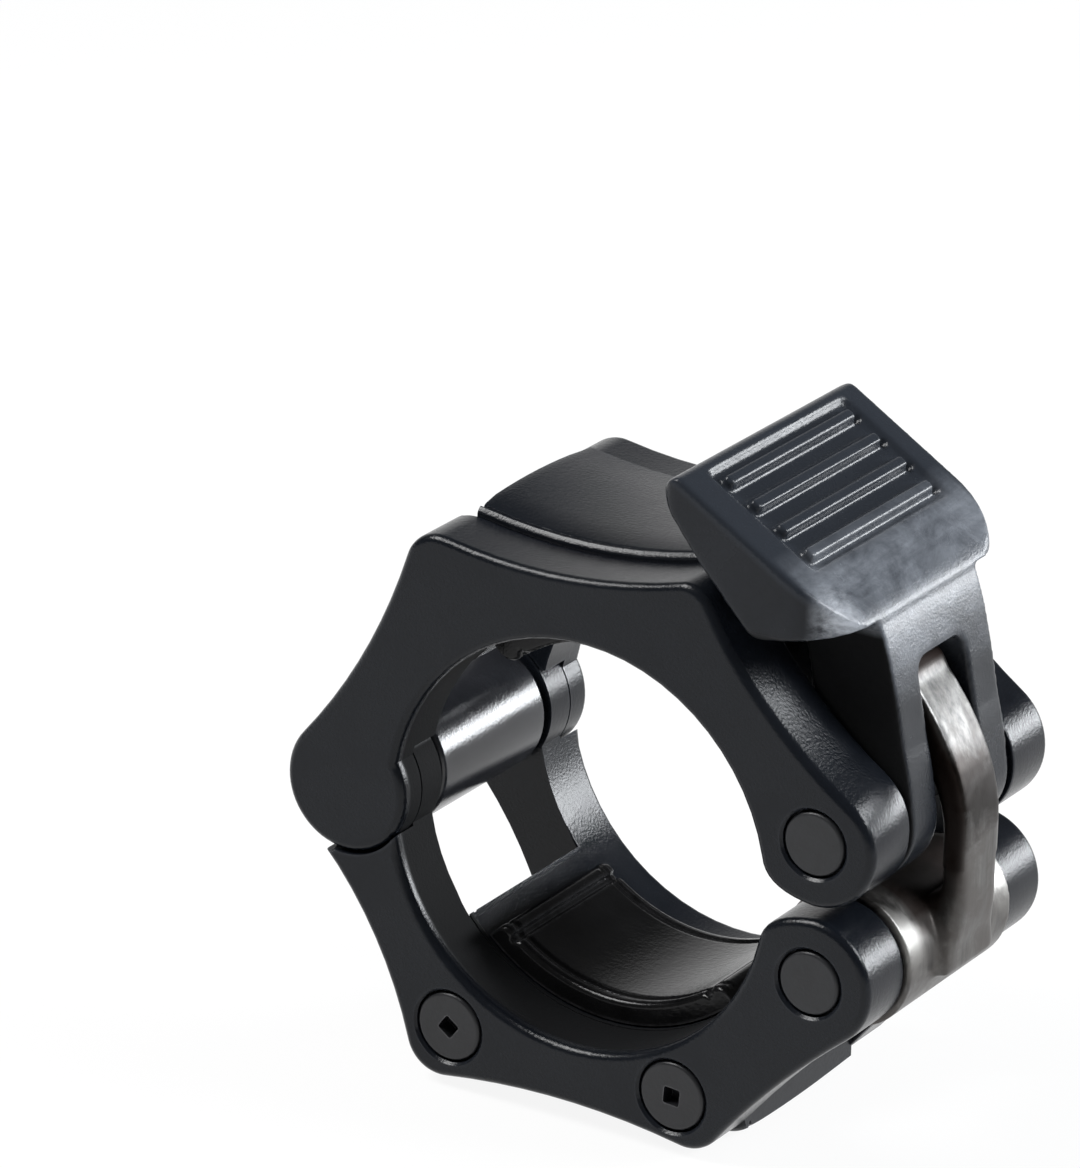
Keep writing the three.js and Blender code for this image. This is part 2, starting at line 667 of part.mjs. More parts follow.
const strapPinSolid = rod(strapPin, strapPinRadius, -leverHalfWidth + blindWall + fitGap, leverHalfWidth);
addPart("strap_pin", strapPinSolid, "steel");
addPart("link", linkSolid(), "steel");
addPart("link_pin", headedPin(linkPin, linkPinRadius), "blackSteel");
addPart("link_pin_cap", pinCap(linkPin, linkPinRadius), "blackSteel");

export default collar;
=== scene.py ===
import math

import bmesh
import bpy
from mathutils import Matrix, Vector


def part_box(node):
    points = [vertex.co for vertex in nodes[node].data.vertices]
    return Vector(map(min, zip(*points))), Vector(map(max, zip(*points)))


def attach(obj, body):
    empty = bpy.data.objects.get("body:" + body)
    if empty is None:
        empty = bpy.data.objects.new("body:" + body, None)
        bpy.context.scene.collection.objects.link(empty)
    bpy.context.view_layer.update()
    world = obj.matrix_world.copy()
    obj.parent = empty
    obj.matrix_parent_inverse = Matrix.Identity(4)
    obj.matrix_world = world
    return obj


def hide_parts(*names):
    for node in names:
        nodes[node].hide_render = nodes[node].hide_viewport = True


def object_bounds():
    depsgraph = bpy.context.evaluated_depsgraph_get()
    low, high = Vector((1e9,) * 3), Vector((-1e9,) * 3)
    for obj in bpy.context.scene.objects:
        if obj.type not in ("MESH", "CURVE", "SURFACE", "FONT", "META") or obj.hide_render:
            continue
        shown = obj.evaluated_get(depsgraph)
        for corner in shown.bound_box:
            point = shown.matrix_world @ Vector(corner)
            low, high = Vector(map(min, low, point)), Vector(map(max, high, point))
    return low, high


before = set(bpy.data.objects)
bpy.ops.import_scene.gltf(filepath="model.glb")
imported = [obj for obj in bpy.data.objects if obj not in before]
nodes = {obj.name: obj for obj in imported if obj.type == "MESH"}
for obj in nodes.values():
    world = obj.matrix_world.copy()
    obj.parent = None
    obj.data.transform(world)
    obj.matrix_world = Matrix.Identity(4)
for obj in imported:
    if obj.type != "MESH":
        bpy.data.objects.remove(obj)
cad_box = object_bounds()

# Lower jaw, back half: the back cheek and the web under the sleeve are one moulding in black
# glass-filled nylon with a satin skin. The outline runs round the bosses for the hinge, the screws
# and the lower pin, with hollow sides between them. Hex pockets in its back take the nuts.
MM = 0.001


def span(node):
    low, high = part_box(node)
    return Vector(low) / MM, Vector(high) / MM


def middle(node):
    low, high = span(node)
    return (low + high) / 2


def size(node):
    low, high = span(node)
    return high - low


hinge = middle("hinge_barrel")
lever_pin = middle("lever_pin")
link_pin = middle("link_pin")
front_face = span("upper_jaw_front_cheek")[0].y
back_face = span("upper_jaw_body")[1].y
cheek_inner = -span("upper_jaw_front_cheek")[1].y
sleeve_radius = 25
bore_radius = 28.5
lobe_radius = hinge.x - span("upper_jaw_front_cheek")[0].x
parting_gap = 1.8
ear_radius = lever_pin.z - parting_gap / 2
mouth_bend = 6
mouth_lead = 1.3
lap_depth = 4.5
running_gap = 0.3
lap_step = 6.2
tip_depth = 10
tip_length = 2.5
tip_blunt = 0.7
over = 1
curve_steps = 9
face_rounding = 1.15
inner_rounding = 0.4
rounding_steps = 4
widest_arc = math.radians(60)
fit_gap = 0.15
merge_distance = 0.002
flat_angle = math.radians(0.5)
sharp_angle = math.radians(33)
flat_weight = 80
level_slack = 0.01
lap_slack = 0.05
past_lobe = hinge.x + lobe_radius * 1.3
tip_edge = hinge.x - tip_length + tip_blunt


def polar(spot, radius, angle):
    return Vector((spot[0] + radius * math.cos(angle), spot[1] + radius * math.sin(angle)))


def arc(spot, radius, start, end):
    """Bezier segments along an arc; each is the point, its two handles and the next point."""
    parts = math.ceil(abs(end - start) / widest_arc)
    step = (end - start) / parts
    pull = 4 / 3 * math.tan(step / 4) * radius
    segments = []
    for i in range(parts):
        a = start + step * i
        b = a + step
        p, q = polar(spot, radius, a), polar(spot, radius, b)
        leave = p + pull * Vector((-math.sin(a), math.cos(a)))
        arrive = q - pull * Vector((-math.sin(b), math.cos(b)))
        segments.append((p, leave, arrive, q))
    return segments


def bend(p, control, q):
    p, control, q = Vector(p), Vector(control), Vector(q)
    return [(p, p.lerp(control, 2 / 3), q.lerp(control, 2 / 3), q)]


def straight(p, q):
    p, q = Vector(p), Vector(q)
    return [(p, p.lerp(q, 1 / 3), q.lerp(p, 1 / 3), q)]


def hollow_side(a, b, sag):
    """The side between two corner circles, walked clockwise, its middle sag inside the tangent."""
    run = Vector((b[0] - a[0], b[1] - a[1]))
    lean = math.asin((a[2] - b[2]) / run.length)
    outward = math.atan2(run.y, run.x) + math.pi / 2 - lean
    turn = math.atan(4 * sag / run.length)
    leave, meet = outward - turn, outward + turn
    start, end = polar(a, a[2], leave), polar(b, b[2], meet)
    t = Vector((math.sin(leave), -math.cos(leave)))
    s = Vector((math.sin(meet), -math.cos(meet)))
    along = ((end.x - start.x) * s.y - (end.y - start.y) * s.x) / (t.x * s.y - t.y * s.x)
    return leave, meet, bend(start, start + t * along, end)


def jaw_outline(corners, sags, grow, upper):
    """The closed outline of a jaw with its bore; the lower jaw is the same kind turned over."""
    lobe = (hinge.x, 0, lobe_radius + grow)
    ear = (lever_pin.x, lever_pin.z, ear_radius + grow)
    stops = [lobe] + [(x, z, radius + grow) for x, z, radius in corners] + [ear]
    reach = (hinge.x**2 + bore_radius**2 - lobe[2]**2) / (2 * abs(hinge.x))
    height = math.sqrt(bore_radius**2 - reach**2)
    angle = math.atan2(height, -reach - hinge.x)
    segments = []
    for i, sag in enumerate(sags):
        leave, meet, side = hollow_side(stops[i], stops[i + 1], sag)
        turned = leave - 2 * math.pi if i == 0 else leave
        segments += arc(stops[i], stops[i][2], angle, turned) + side
        angle = meet
    segments += arc(ear, ear[2], angle, -math.pi / 2)
    rim = math.sqrt(bore_radius**2 - mouth_bend**2)
    lip = ear[1] - ear[2]
    segments += bend((ear[0], lip), (rim + mouth_lead / 2, lip + mouth_lead / 2), (rim, mouth_bend))
    segments += arc((0, 0), bore_radius, math.atan2(mouth_bend, rim), math.atan2(height, -reach))
    turn_over = 1 if upper else -1
    return [tuple(Vector((p.x, p.y * turn_over)) for p in segment) for segment in segments]


def only(piece):
    bpy.ops.object.select_all(action="DESELECT")
    piece.select_set(True)
    bpy.context.view_layer.objects.active = piece


def draw(name, segments, y):
    """A closed wire in the plane across the bore at this y, drawn as a Bezier curve."""
    curve = bpy.data.curves.new(name, "CURVE")
    curve.resolution_u = curve_steps
    spline = curve.splines.new("BEZIER")
    spline.bezier_points.add(len(segments) - 1)
    spline.use_cyclic_u = True
    for i, (point, segment) in enumerate(zip(spline.bezier_points, segments)):
        before = segments[i - 1]
        point.handle_left_type = point.handle_right_type = "FREE"
        point.co = (segment[0].x * MM, segment[0].y * MM, 0)
        point.handle_right = (segment[1].x * MM, segment[1].y * MM, 0)
        point.handle_left = (before[2].x * MM, before[2].y * MM, 0)
    wire = bpy.data.objects.new(name, curve)
    bpy.context.collection.objects.link(wire)
    wire.rotation_euler = (math.pi / 2, 0, 0)
    wire.location = (0, y * MM, 0)
    only(wire)
    bpy.ops.object.convert(target="MESH")
    bpy.ops.object.transform_apply(location=True, rotation=True, scale=True)
    edit(wire)
    bpy.ops.mesh.select_all(action="SELECT")
    bpy.ops.mesh.remove_doubles(threshold=merge_distance * MM)
    done()
    return bpy.context.object


def edit(piece, kind="EDGE"):
    only(piece)
    bpy.ops.object.mode_set(mode="EDIT")
    bpy.ops.mesh.select_mode(type=kind)
    bpy.ops.mesh.select_all(action="DESELECT")
    return bmesh.from_edit_mesh(piece.data)


def done():
    bpy.ops.object.mode_set(mode="OBJECT")


def prism(name, segments, front, back):
    """A wire filled and pushed along the sleeve from front to back."""
    piece = draw(name, segments, front)
    edit(piece)
    bpy.ops.mesh.select_all(action="SELECT")
    bpy.ops.mesh.edge_face_add()
    bpy.ops.mesh.extrude_region_move(TRANSFORM_OT_translate={"value": (0, (back - front) * MM, 0)})
    bpy.ops.mesh.select_all(action="SELECT")
    bpy.ops.mesh.normals_make_consistent(inside=False)
    done()
    return piece


def bevel_edges(piece, radius, test, steps=rounding_steps):
    """Rounds the edges whose middle, in mm, and faces pass this test."""
    mesh = edit(piece)
    for edge in mesh.edges:
        if len(edge.link_faces) == 2 and test((edge.verts[0].co + edge.verts[1].co) / 2 / MM, edge):
            edge.select = True
    bmesh.update_edit_mesh(piece.data)
    bpy.ops.mesh.bevel(offset=radius * MM, segments=steps, profile=0.5, clamp_overlap=False)
    done()


def round_rim(piece, y, radius, steps=rounding_steps, test=None):
    """Rounds the rim of the flat faces that lie at this y."""

    def level(face):
        return all(abs(vert.co.y - y * MM) < level_slack * MM for vert in face.verts)

    def on_rim(spot, edge):
        flat = [face for face in edge.link_faces if level(face)]
        return len(flat) == 1 and (test is None or test(spot))

    bevel_edges(piece, radius, on_rim, steps)


def tidy_faces(piece):
    edit(piece)
    bpy.ops.mesh.select_all(action="SELECT")
    bpy.ops.mesh.remove_doubles(threshold=merge_distance * MM)
    bpy.ops.mesh.dissolve_limited(angle_limit=flat_angle)
    done()


def combine(piece, other, operation):
    modifier = piece.modifiers.new(operation, "BOOLEAN")
    modifier.object = other
    modifier.operation = operation
    modifier.solver = "EXACT"
    only(piece)
    bpy.ops.object.modifier_apply(modifier=modifier.name)
    bpy.data.objects.remove(other)


def block(x, y, z):
    bpy.ops.object.select_all(action="DESELECT")
    centre = [(a + b) / 2 * MM for a, b in (x, y, z)]
    bpy.ops.mesh.primitive_cube_add(size=1, location=centre)
    cube = bpy.context.object
    cube.scale = [(b - a) * MM for a, b in (x, y, z)]
    bpy.ops.object.transform_apply(location=True, rotation=True, scale=True)
    return cube


def rod(spot, radius, front, back, sides=72, end_radius=None):
    """A cylinder along the sleeve, or a cone when it has another radius at the back."""
    bpy.ops.object.select_all(action="DESELECT")
    place = (spot.x * MM, (front + back) / 2 * MM, spot.z * MM)
    bpy.ops.mesh.primitive_cone_add(
        vertices=sides,
        radius1=(radius if end_radius is None else end_radius) * MM,
        radius2=radius * MM,
        depth=(back - front) * MM,
        location=place,
        rotation=(math.pi / 2, 0, 0),
    )
    bpy.ops.object.transform_apply(location=True, rotation=True, scale=True)
    return bpy.context.object


def drill(piece, spot, radius, depth, at_front, flare, sides=72):
    """A round seat of this depth in the front or the back face, its mouth broken at 45 degrees."""
    face, sign = (front_face, 1) if at_front else (back_face, -1)
    ends = sorted((face - sign * over, face + sign * depth))
    combine(piece, rod(spot, radius, *ends, sides), "DIFFERENCE")
    wide, narrow = radius + flare + over, radius - flare
    ends = sorted((face - sign * over, face + sign * 2 * flare))
    radii = (wide, narrow) if at_front else (narrow, wide)
    combine(piece, rod(spot, radii[0], *ends, sides, radii[1]), "DIFFERENCE")


def bore(piece, spot, radius, front, back):
    combine(piece, rod(spot, radius, front - over, back + over), "DIFFERENCE")


def finish_faces(piece, angle=sharp_angle):
    """Smooth shading that keeps flat faces flat and real edges sharp."""
    only(piece)
    bpy.ops.object.shade_smooth_by_angle(angle=angle)
    modifier = piece.modifiers.new("normals", "WEIGHTED_NORMAL")
    modifier.keep_sharp = True
    modifier.weight = flat_weight
    bpy.ops.object.modifier_apply(modifier=modifier.name)


def cut_lap(piece, at_front, upper):
    """Clears the slice of a cheek where the other jaw's hinge lobe turns."""
    sign = 1 if at_front else -1
    face = front_face if at_front else back_face
    inner = -cheek_inner if at_front else cheek_inner
    reach = 3 * lobe_radius
    if upper:
        depth = sorted((face + sign * lap_depth, inner + sign * over))
        edge, band = hinge.x, (-reach, lobe_radius + running_gap)
    else:
        depth = sorted((face - sign * over, face + sign * (lap_depth + running_gap)))
        edge, band = tip_edge, (-tip_depth, reach)
    combine(piece, rod(hinge, lobe_radius + running_gap, *depth, sides=96), "DIFFERENCE")
    combine(piece, block((hinge.x - reach, edge), depth, band), "DIFFERENCE")
    if upper:
        combine(piece, block((hinge.x, 0), depth, (-reach, lap_step)), "DIFFERENCE")


def blunt(spot):
    """Whether a point of a lower cheek's rim lies on the squared end of the tip beside the hinge."""
    return spot.x < tip_edge and spot.z > -tip_depth


def cheek(name, outline, at_front, upper):
    front, back = (front_face, -cheek_inner) if at_front else (cheek_inner, back_face)
    piece = prism(name, outline, front, back)
    cut_lap(piece, at_front, upper)
    tidy_faces(piece)
    outer, inner = (front, back) if at_front else (back, front)

    def off_lap(spot):
        from_hinge = math.hypot(spot.x - hinge.x, spot.z)
        return upper or from_hinge > lobe_radius + running_gap + lap_slack and not blunt(spot)

    round_rim(piece, outer, face_rounding, test=off_lap)
    round_rim(piece, inner, inner_rounding, steps=2, test=lambda spot: spot.x > past_lobe)
    return piece


def loft(name, rings):
    """A closed skin over rings of points in mm, each ring with the same number of points."""
    mesh = bmesh.new()
    rings = [[mesh.verts.new(Vector(p) * MM) for p in ring] for ring in rings]
    for near, far in zip(rings, rings[1:]):
        for i in range(len(near)):
            j = (i + 1) % len(near)
            mesh.faces.new((near[i], near[j], far[j], far[i]))
    mesh.faces.new(rings[0])
    mesh.faces.new(rings[-1])
    bmesh.ops.recalc_face_normals(mesh, faces=mesh.faces)
    data = bpy.data.meshes.new(name)
    mesh.to_mesh(data)
    mesh.free()
    piece = bpy.data.objects.new(name, data)
    bpy.context.collection.objects.link(piece)
    return piece


def loop_points(wire):
    """The points of a closed wire in their order, in mm."""
    beside = {}
    for edge in wire.data.edges:
        a, b = edge.vertices
        beside.setdefault(a, []).append(b)
        beside.setdefault(b, []).append(a)
    start = min(beside)
    order = [start, min(beside[start])]
    while len(order) < len(beside):
        a, b = order[-2], order[-1]
        order.append([c for c in beside[b] if c != a][0])
    points = [wire.data.vertices[i].co / MM for i in order]
    bpy.data.objects.remove(wire)
    return points


web_rise = 1.1
web_end = 21.8
bead_profile = [
    (0, -0.8), (0.12, -0.5), (0.36, -0.24), (0.58, -0.03), (0.78, 0), (0.96, -0.16), (1.04, -0.62),
    (1.5, -0.64), (1.64, -0.2), (1.95, 0),
]
web_rows = 10


def web(name, corners, sags, crown, upper):
    """The band between the cheeks, crowned across its width, with a thin bead along its front."""
    rows = [(-cheek_inner + run, rise) for run, rise in bead_profile]
    first = rows[-1][0]
    last = cheek_inner + over / 2
    for i in range(1, web_rows + 1):
        y = first + (last - first) * i / web_rows
        rows.append((y, crown * max(0, 1 - (y / cheek_inner) ** 2)))
    rings = []
    for y, rise in rows:
        rings.append(loop_points(draw(name, jaw_outline(corners, sags, web_rise + rise, upper), y)))
    piece = loft(name, rings)
    for side in (-1, 1):
        edit(piece)
        bpy.ops.mesh.select_all(action="SELECT")
        bpy.ops.mesh.bisect(
            plane_co=(side * web_end * MM, 0, 0),
            plane_no=(side, 0, 0),
            use_fill=True,
            clear_outer=True,
        )
        done()
    return piece


def hand_over(piece, body, slot, *replaced):
    """Puts the piece on the body it rides on and hides the parts it stands for; slot is not used."""
    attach(piece, body)
    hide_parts(*replaced)


def effect(name, inputs, outputs):
    """An empty shader node group with named number inputs and outputs."""
    tree = bpy.data.node_groups.new(name, "ShaderNodeTree")
    for socket, value in inputs.items():
        made = tree.interface.new_socket(socket, in_out="INPUT", socket_type="NodeSocketFloat")
        made.default_value = value
    for socket in outputs:
        tree.interface.new_socket(socket, in_out="OUTPUT", socket_type="NodeSocketFloat")
    return tree, tree.nodes.new("NodeGroupInput").outputs, tree.nodes.new("NodeGroupOutput").inputs


def add(tree, kind, settings=None, **links):
    """A node with its settings; a keyword is a socket's name, _ for a space, with a value or link."""
    node = tree.nodes.new(kind)
    for key, value in (settings or {}).items():
        setattr(node, key, value)
    for key, value in links.items():
        place = int(key[1:]) if key[0] == "i" and key[1:].isdigit() else key.replace("_", " ")
        if isinstance(value, bpy.types.NodeSocket):
            tree.links.new(value, node.inputs[place])
        else:
            node.inputs[place].default_value = value
    return node


def stretched(tree, scale=(1, 1, 1)):
    """Object coordinates, stretched by these factors."""
    place = add(tree, "ShaderNodeTexCoord").outputs["Object"]
    return add(tree, "ShaderNodeMapping", Vector=place, Scale=scale).outputs["Vector"]


def noise(tree, scale, detail, rough, vector, distortion=0.0):
    node = add(
        tree, "ShaderNodeTexNoise", Vector=vector, Scale=scale, Detail=detail, Roughness=rough,
        Distortion=distortion,
    )
    return node.outputs["Fac"]


def ranged(tree, value, low, high, start=0.0, end=1.0):
    """The value taken from low..high to start..end."""
    node = add(tree, "ShaderNodeMapRange", Value=value, i1=low, i2=high, i3=start, i4=end)
    return node.outputs["Result"]


def sum_up(tree, operation, a, b):
    return add(tree, "ShaderNodeMath", {"operation": operation}, i0=a, i1=b).outputs["Value"]


def product(tree, first, *others):
    for other in others:
        first = sum_up(tree, "MULTIPLY", first, other)
    return first


def measure(tree, operation, a, b=(0, 0, 0)):
    """A number from two places or directions, such as their distance."""
    return add(tree, "ShaderNodeVectorMath", {"operation": operation}, i0=a, i1=b).outputs["Value"]


def place_of(tree):
    """Where a spot is, in metres: its X, Y and Z, and how far across it lies from the middle."""
    spot = add(tree, "ShaderNodeSeparateXYZ", Vector=stretched(tree)).outputs
    across = add(tree, "ShaderNodeMath", {"operation": "ABSOLUTE"}, i0=spot["Y"]).outputs["Value"]
    return spot["X"], spot["Y"], spot["Z"], across


def blend(tree, mask, below, above):
    """The colour above laid over the colour below where the mask is 1."""
    node = tree.nodes.new("ShaderNodeMix")
    node.data_type = "RGBA"
    tree.links.new(mask, node.inputs[0])
    for place, colour in ((6, below), (7, above)):
        if isinstance(colour, bpy.types.NodeSocket):
            tree.links.new(colour, node.inputs[place])
        else:
            node.inputs[place].default_value = (*colour, 1)
    return node.outputs[2]


# Skin of a moulding: fine grain for the bump, and a cloudy mottle for its gloss and shade.
skin, given, result = effect(
    "moulded_skin", {"Grain Scale": 2600.0, "Mottle Scale": 110.0}, ("Grain", "Mottle"),
)
place = stretched(skin)
grain_noise = noise(skin, given["Grain Scale"], 3, 0.6, place)
mottle_noise = noise(skin, given["Mottle Scale"], 5, 0.62, place, 0.5)
skin.links.new(ranged(skin, grain_noise, 0.3, 0.7), result["Grain"])
skin.links.new(ranged(skin, mottle_noise, 0.32, 0.68), result["Mottle"])

# Edge wear: where the surface turns within a small radius, broken up by noise. Where a material gives
# these edges a pale colour, as on the pads, it paints a highlight along them.
wear_and_glint, given, result = effect("edge_wear_and_glint", {"Radius": 0.0008, "Break Up Scale": 300.0}, ("Wear",))
turned = add(wear_and_glint, "ShaderNodeBevel", {"samples": 4}, Radius=given["Radius"]).outputs["Normal"]
true_normal = add(wear_and_glint, "ShaderNodeNewGeometry").outputs["Normal"]
likeness = measure(wear_and_glint, "DOT_PRODUCT", turned, true_normal)
bare_edge = ranged(wear_and_glint, likeness, 0.97, 0.85)
broken = ranged(wear_and_glint, noise(wear_and_glint, given["Break Up Scale"], 4, 0.7, stretched(wear_and_glint)), 0.28, 0.52)
wear_and_glint.links.new(sum_up(wear_and_glint, "MULTIPLY", bare_edge, broken), result["Wear"])


def material(name):
    made = bpy.data.materials.new(name)
    made.use_nodes = True
    return made, made.node_tree, made.node_tree.nodes["Principled BSDF"]


def place_effect(tree, group, **values):
    node = tree.nodes.new("ShaderNodeGroup")
    node.node_tree = group
    for key, value in values.items():
        node.inputs[key.replace("_", " ")].default_value = value
    return node.outputs


def bump(tree, shader, height, distance, strength=1.0):
    node = add(tree, "ShaderNodeBump", Height=height, Distance=distance, Strength=strength)
    tree.links.new(node.outputs["Normal"], shader.inputs["Normal"])


def moulded(
    name, dark, light, gloss, edge_colour, edge_gloss, grain=2600.0, depth=0.00002, specular=0.22,
):
    """A black moulding: mottled shade and gloss, fine grain, edges rubbed lighter and smoother, and a
    pale edge colour paints a highlight along them.
    """
    made, tree, shader = material(name)
    surface = place_effect(tree, skin, Grain_Scale=grain)
    edge = place_effect(tree, wear_and_glint)["Wear"]
    body = blend(tree, surface["Mottle"], dark, light)
    tree.links.new(blend(tree, edge, body, edge_colour), shader.inputs["Base Color"])
    rough = ranged(tree, surface["Mottle"], 0, 1, *gloss)
    rough = sum_up(tree, "SUBTRACT", rough, sum_up(tree, "MULTIPLY", edge, edge_gloss))
    tree.links.new(rough, shader.inputs["Roughness"])
    shader.inputs["Specular IOR Level"].default_value = specular
    bump(tree, shader, surface["Grain"], depth)
    return made


def tint(tree, shader, mask, colour):
    """Lays a colour over the material's own where the mask is 1."""
    below = shader.inputs["Base Color"].links[0].from_socket
    tree.links.new(blend(tree, mask, below, colour), shader.inputs["Base Color"])


def dull(tree, shader, mask, least=1.0):
    """Makes the material at least this rough where the mask is 1."""
    below = shader.inputs["Roughness"].links[0].from_socket
    rough = sum_up(tree, "MULTIPLY", mask, least)
    tree.links.new(sum_up(tree, "MAXIMUM", below, rough), shader.inputs["Roughness"])


def dress(piece, made):
    piece.data.materials.clear()
    piece.data.materials.append(made)


moulding = moulded(
    "moulding", (0.0045, 0.0056, 0.008), (0.0062, 0.0076, 0.0104),
    gloss=(0.17, 0.26), edge_colour=(0.018, 0.02, 0.025), edge_gloss=0.08,
)
# Inside the front cheeks the skin stays matt where no sleeve rubs it, and is darkened there with painted
# shade.
matt_radius = (0.0288, 0.0294)
matt_front = (-0.0217, -0.0209)
matt_back = (-0.0132, -0.0128)
bore_shade_colour = (0.0012, 0.0013, 0.0016)
tree = moulding.node_tree
from_axis = measure(tree, "LENGTH", stretched(tree, (1, 0, 1)))
depth_in = place_of(tree)[1]
matt_shaded_bore = product(
    tree, ranged(tree, from_axis, *matt_radius, 1, 0), ranged(tree, depth_in, *matt_front),
    ranged(tree, depth_in, *matt_back, 0.8, 0),
)
dull(tree, tree.nodes["Principled BSDF"], matt_shaded_bore)
# Painted shade darkens the inside of the front cheeks.
tint(tree, tree.nodes["Principled BSDF"], matt_shaded_bore, bore_shade_colour)

lower_corners = [
    (bore_radius * -0.719, bore_radius + 4.4, 5.4),
    (bore_radius * 0.628, bore_radius + 4.4, 5.4),
]
lower_sags = (2.6, 1.6, 0.8)
lower_outline = jaw_outline(lower_corners, lower_sags, 0, False)
lower_crown = 0.3
edge_break = 0.35
head_gap = 0.28
pin_seat = size("lever_pin_cap").x / 2 + head_gap
pin_seat_depth = 2.5
shank_gap = 0.15
link_shank = 2.6

lower_body = cheek("lower_body", lower_outline, False, False)
combine(lower_body, web("web", lower_corners, lower_sags, lower_crown, False), "UNION")
for nut in ("lower_nut_left", "lower_nut_right"):
    pocket_radius = size(nut).x / 2 + fit_gap
    drill(lower_body, middle(nut), pocket_radius, size(nut).y + fit_gap, False, edge_break, sides=6)
drill(lower_body, link_pin, pin_seat, pin_seat_depth, False, edge_break)
bore(lower_body, link_pin, link_shank + shank_gap, cheek_inner, back_face)
finish_faces(lower_body)
hand_over(lower_body, "lower_jaw", "moulding", "lower_jaw_body")
dress(lower_body, moulding)

# Lower jaw, front cheek: the same outline as a separate plate in the same nylon. Two screws from its
# face go through the web into the nuts behind, and the lower pin enters through it.
lower_front = cheek("lower_front_cheek", lower_outline, True, False)
screw_seat = size("lower_screw_left").x / 2 + head_gap
screw_seat_depth = 3.2
for screw_node in ("lower_screw_left", "lower_screw_right"):
    drill(lower_front, middle(screw_node), screw_seat, screw_seat_depth, True, edge_break)
drill(lower_front, link_pin, pin_seat, pin_seat_depth, True, edge_break)
bore(lower_front, link_pin, link_shank + shank_gap, front_face, -cheek_inner)
finish_faces(lower_front)
hand_over(lower_front, "lower_jaw", "moulding", "lower_jaw_front_cheek")
dress(lower_front, moulding)

# Screws and nuts: black-oxide steel. The heads sit in round seats nearly level with the cheeks, each
# with a square socket, the lower ones with hex nuts behind and the upper ones with brass inserts.
socket_side = 2.4
socket_depth = 2.4
socket_lead = 0.3
head_below = 0.1
head_height = 3
head_rounding = 0.55
screw_shank = 2.1


def headed(name, spot, head, shank, at_front, end):
    """A round head just below a cheek's face, on a shank that runs to end."""
    face, sign = (front_face, 1) if at_front else (back_face, -1)
    top = face + sign * head_below
    piece = rod(spot, head, *sorted((top, face + sign * head_height)), sides=96)
    piece.name = name
    round_rim(piece, top, head_rounding)
    if end is not None:
        combine(piece, rod(spot, shank, *sorted((top + sign * over, end)), sides=48), "UNION")
    return piece


def blacked(name, colour, gloss, bare, edge_amount, lift=1.6, depth=0.000015, specular=0.4):
    """Steel under a thin black finish that is rubbed through to bare metal along the edges."""
    made, tree, shader = material(name)
    surface = place_effect(tree, skin, Grain_Scale=1800.0, Mottle_Scale=300.0)
    edge = place_effect(tree, wear_and_glint, Radius=0.00035, Break_Up_Scale=900.0)["Wear"]
    rubbed = sum_up(tree, "MULTIPLY", edge, edge_amount)
    body = blend(tree, surface["Mottle"], colour, [c * lift for c in colour])
    tree.links.new(blend(tree, rubbed, body, bare), shader.inputs["Base Color"])
    tree.links.new(rubbed, shader.inputs["Metallic"])
    tree.links.new(ranged(tree, surface["Mottle"], 0, 1, *gloss), shader.inputs["Roughness"])
    shader.inputs["Specular IOR Level"].default_value = specular
    bump(tree, shader, surface["Grain"], depth)
    return made


black_steel = blacked(
    "black_steel", (0.009, 0.0092, 0.0105), gloss=(0.3, 0.42), bare=(0.2, 0.2, 0.21), edge_amount=0.45,
)


def along_sleeve(spot, edge):
    return abs(edge.verts[0].co.y - edge.verts[1].co.y) > MM


def screw(name, node, body, at_front, turn):
    spot = middle(node)
    low, high = span(node)
    head = headed(name, spot, size(node).x / 2, screw_shank, at_front, high.y if at_front else low.y)
    face, sign = (front_face, 1) if at_front else (back_face, -1)
    half = socket_side / 2
    socket = block((-half, half), sorted((-sign * over, sign * socket_depth)), (-half, half))
    bevel_edges(socket, socket_lead, along_sleeve)
    socket.rotation_euler = (0, turn, 0)
    socket.location = (spot.x * MM, face * MM, spot.z * MM)
    only(socket)
    bpy.ops.object.transform_apply(location=True, rotation=True, scale=True)
    combine(head, socket, "DIFFERENCE")
    finish_faces(head)
    hand_over(head, body, "black_steel", node)
    dress(head, black_steel)


screw("screw_lower_left", "lower_screw_left", "lower_jaw", True, math.radians(36))
screw("screw_lower_right", "lower_screw_right", "lower_jaw", True, math.radians(4))
screw("screw_upper_left", "upper_screw_left", "upper_jaw", False, math.radians(30))
screw("screw_upper_right", "upper_screw_right", "upper_jaw", False, math.radians(12))
dress(nodes["lower_nut_left"], black_steel)
dress(nodes["lower_nut_right"], black_steel)

# Pads: moulded rubber linings keyed into the webs. Each has a rounded rim with a shallow groove
# behind it, front and back, and a raised lip across each end.
pad_half_turn = math.radians(42.3)
pad_half_length = size("lower_pad").y / 2
pad_inset = 0.3
pad_outer = bore_radius - pad_inset
pad_rim = 0.9
pad_steps = 48
pad_thinnest = 0.4
pad_inside = [(1.25, 0.0), (1.5, 0.35), (2.1, 0.4), (2.5, 0.1), (3.1, 0.0)]
pad_ends = [
    (0, 1.3), (0.25, 0.55), (0.8, 0.1), (1.3, 0), (1.9, 0.05), (2.2, 0.6), (2.9, 0.65), (3.3, 0.1),
    (3.9, 0),
]


def pad_section(lift):
    """The pad across its width: the outside, then the inside between two rounded rims."""
    half = pad_half_length
    inside = []
    for i in range(rounding_steps + 1):
        turn = math.pi / 2 * i / rounding_steps
        run = pad_rim * (1 - math.cos(turn))
        inside.append((half - run, sleeve_radius + pad_rim * (1 - math.sin(turn))))
    inside += [(half - run, sleeve_radius + drop) for run, drop in pad_inside]
    inside = [(y, min(pad_outer - pad_thinnest, r + lift)) for y, r in inside]
    mirrored = [(-y, r) for y, r in reversed(inside)]
    return [(-half, pad_outer), (half, pad_outer)] + inside + mirrored


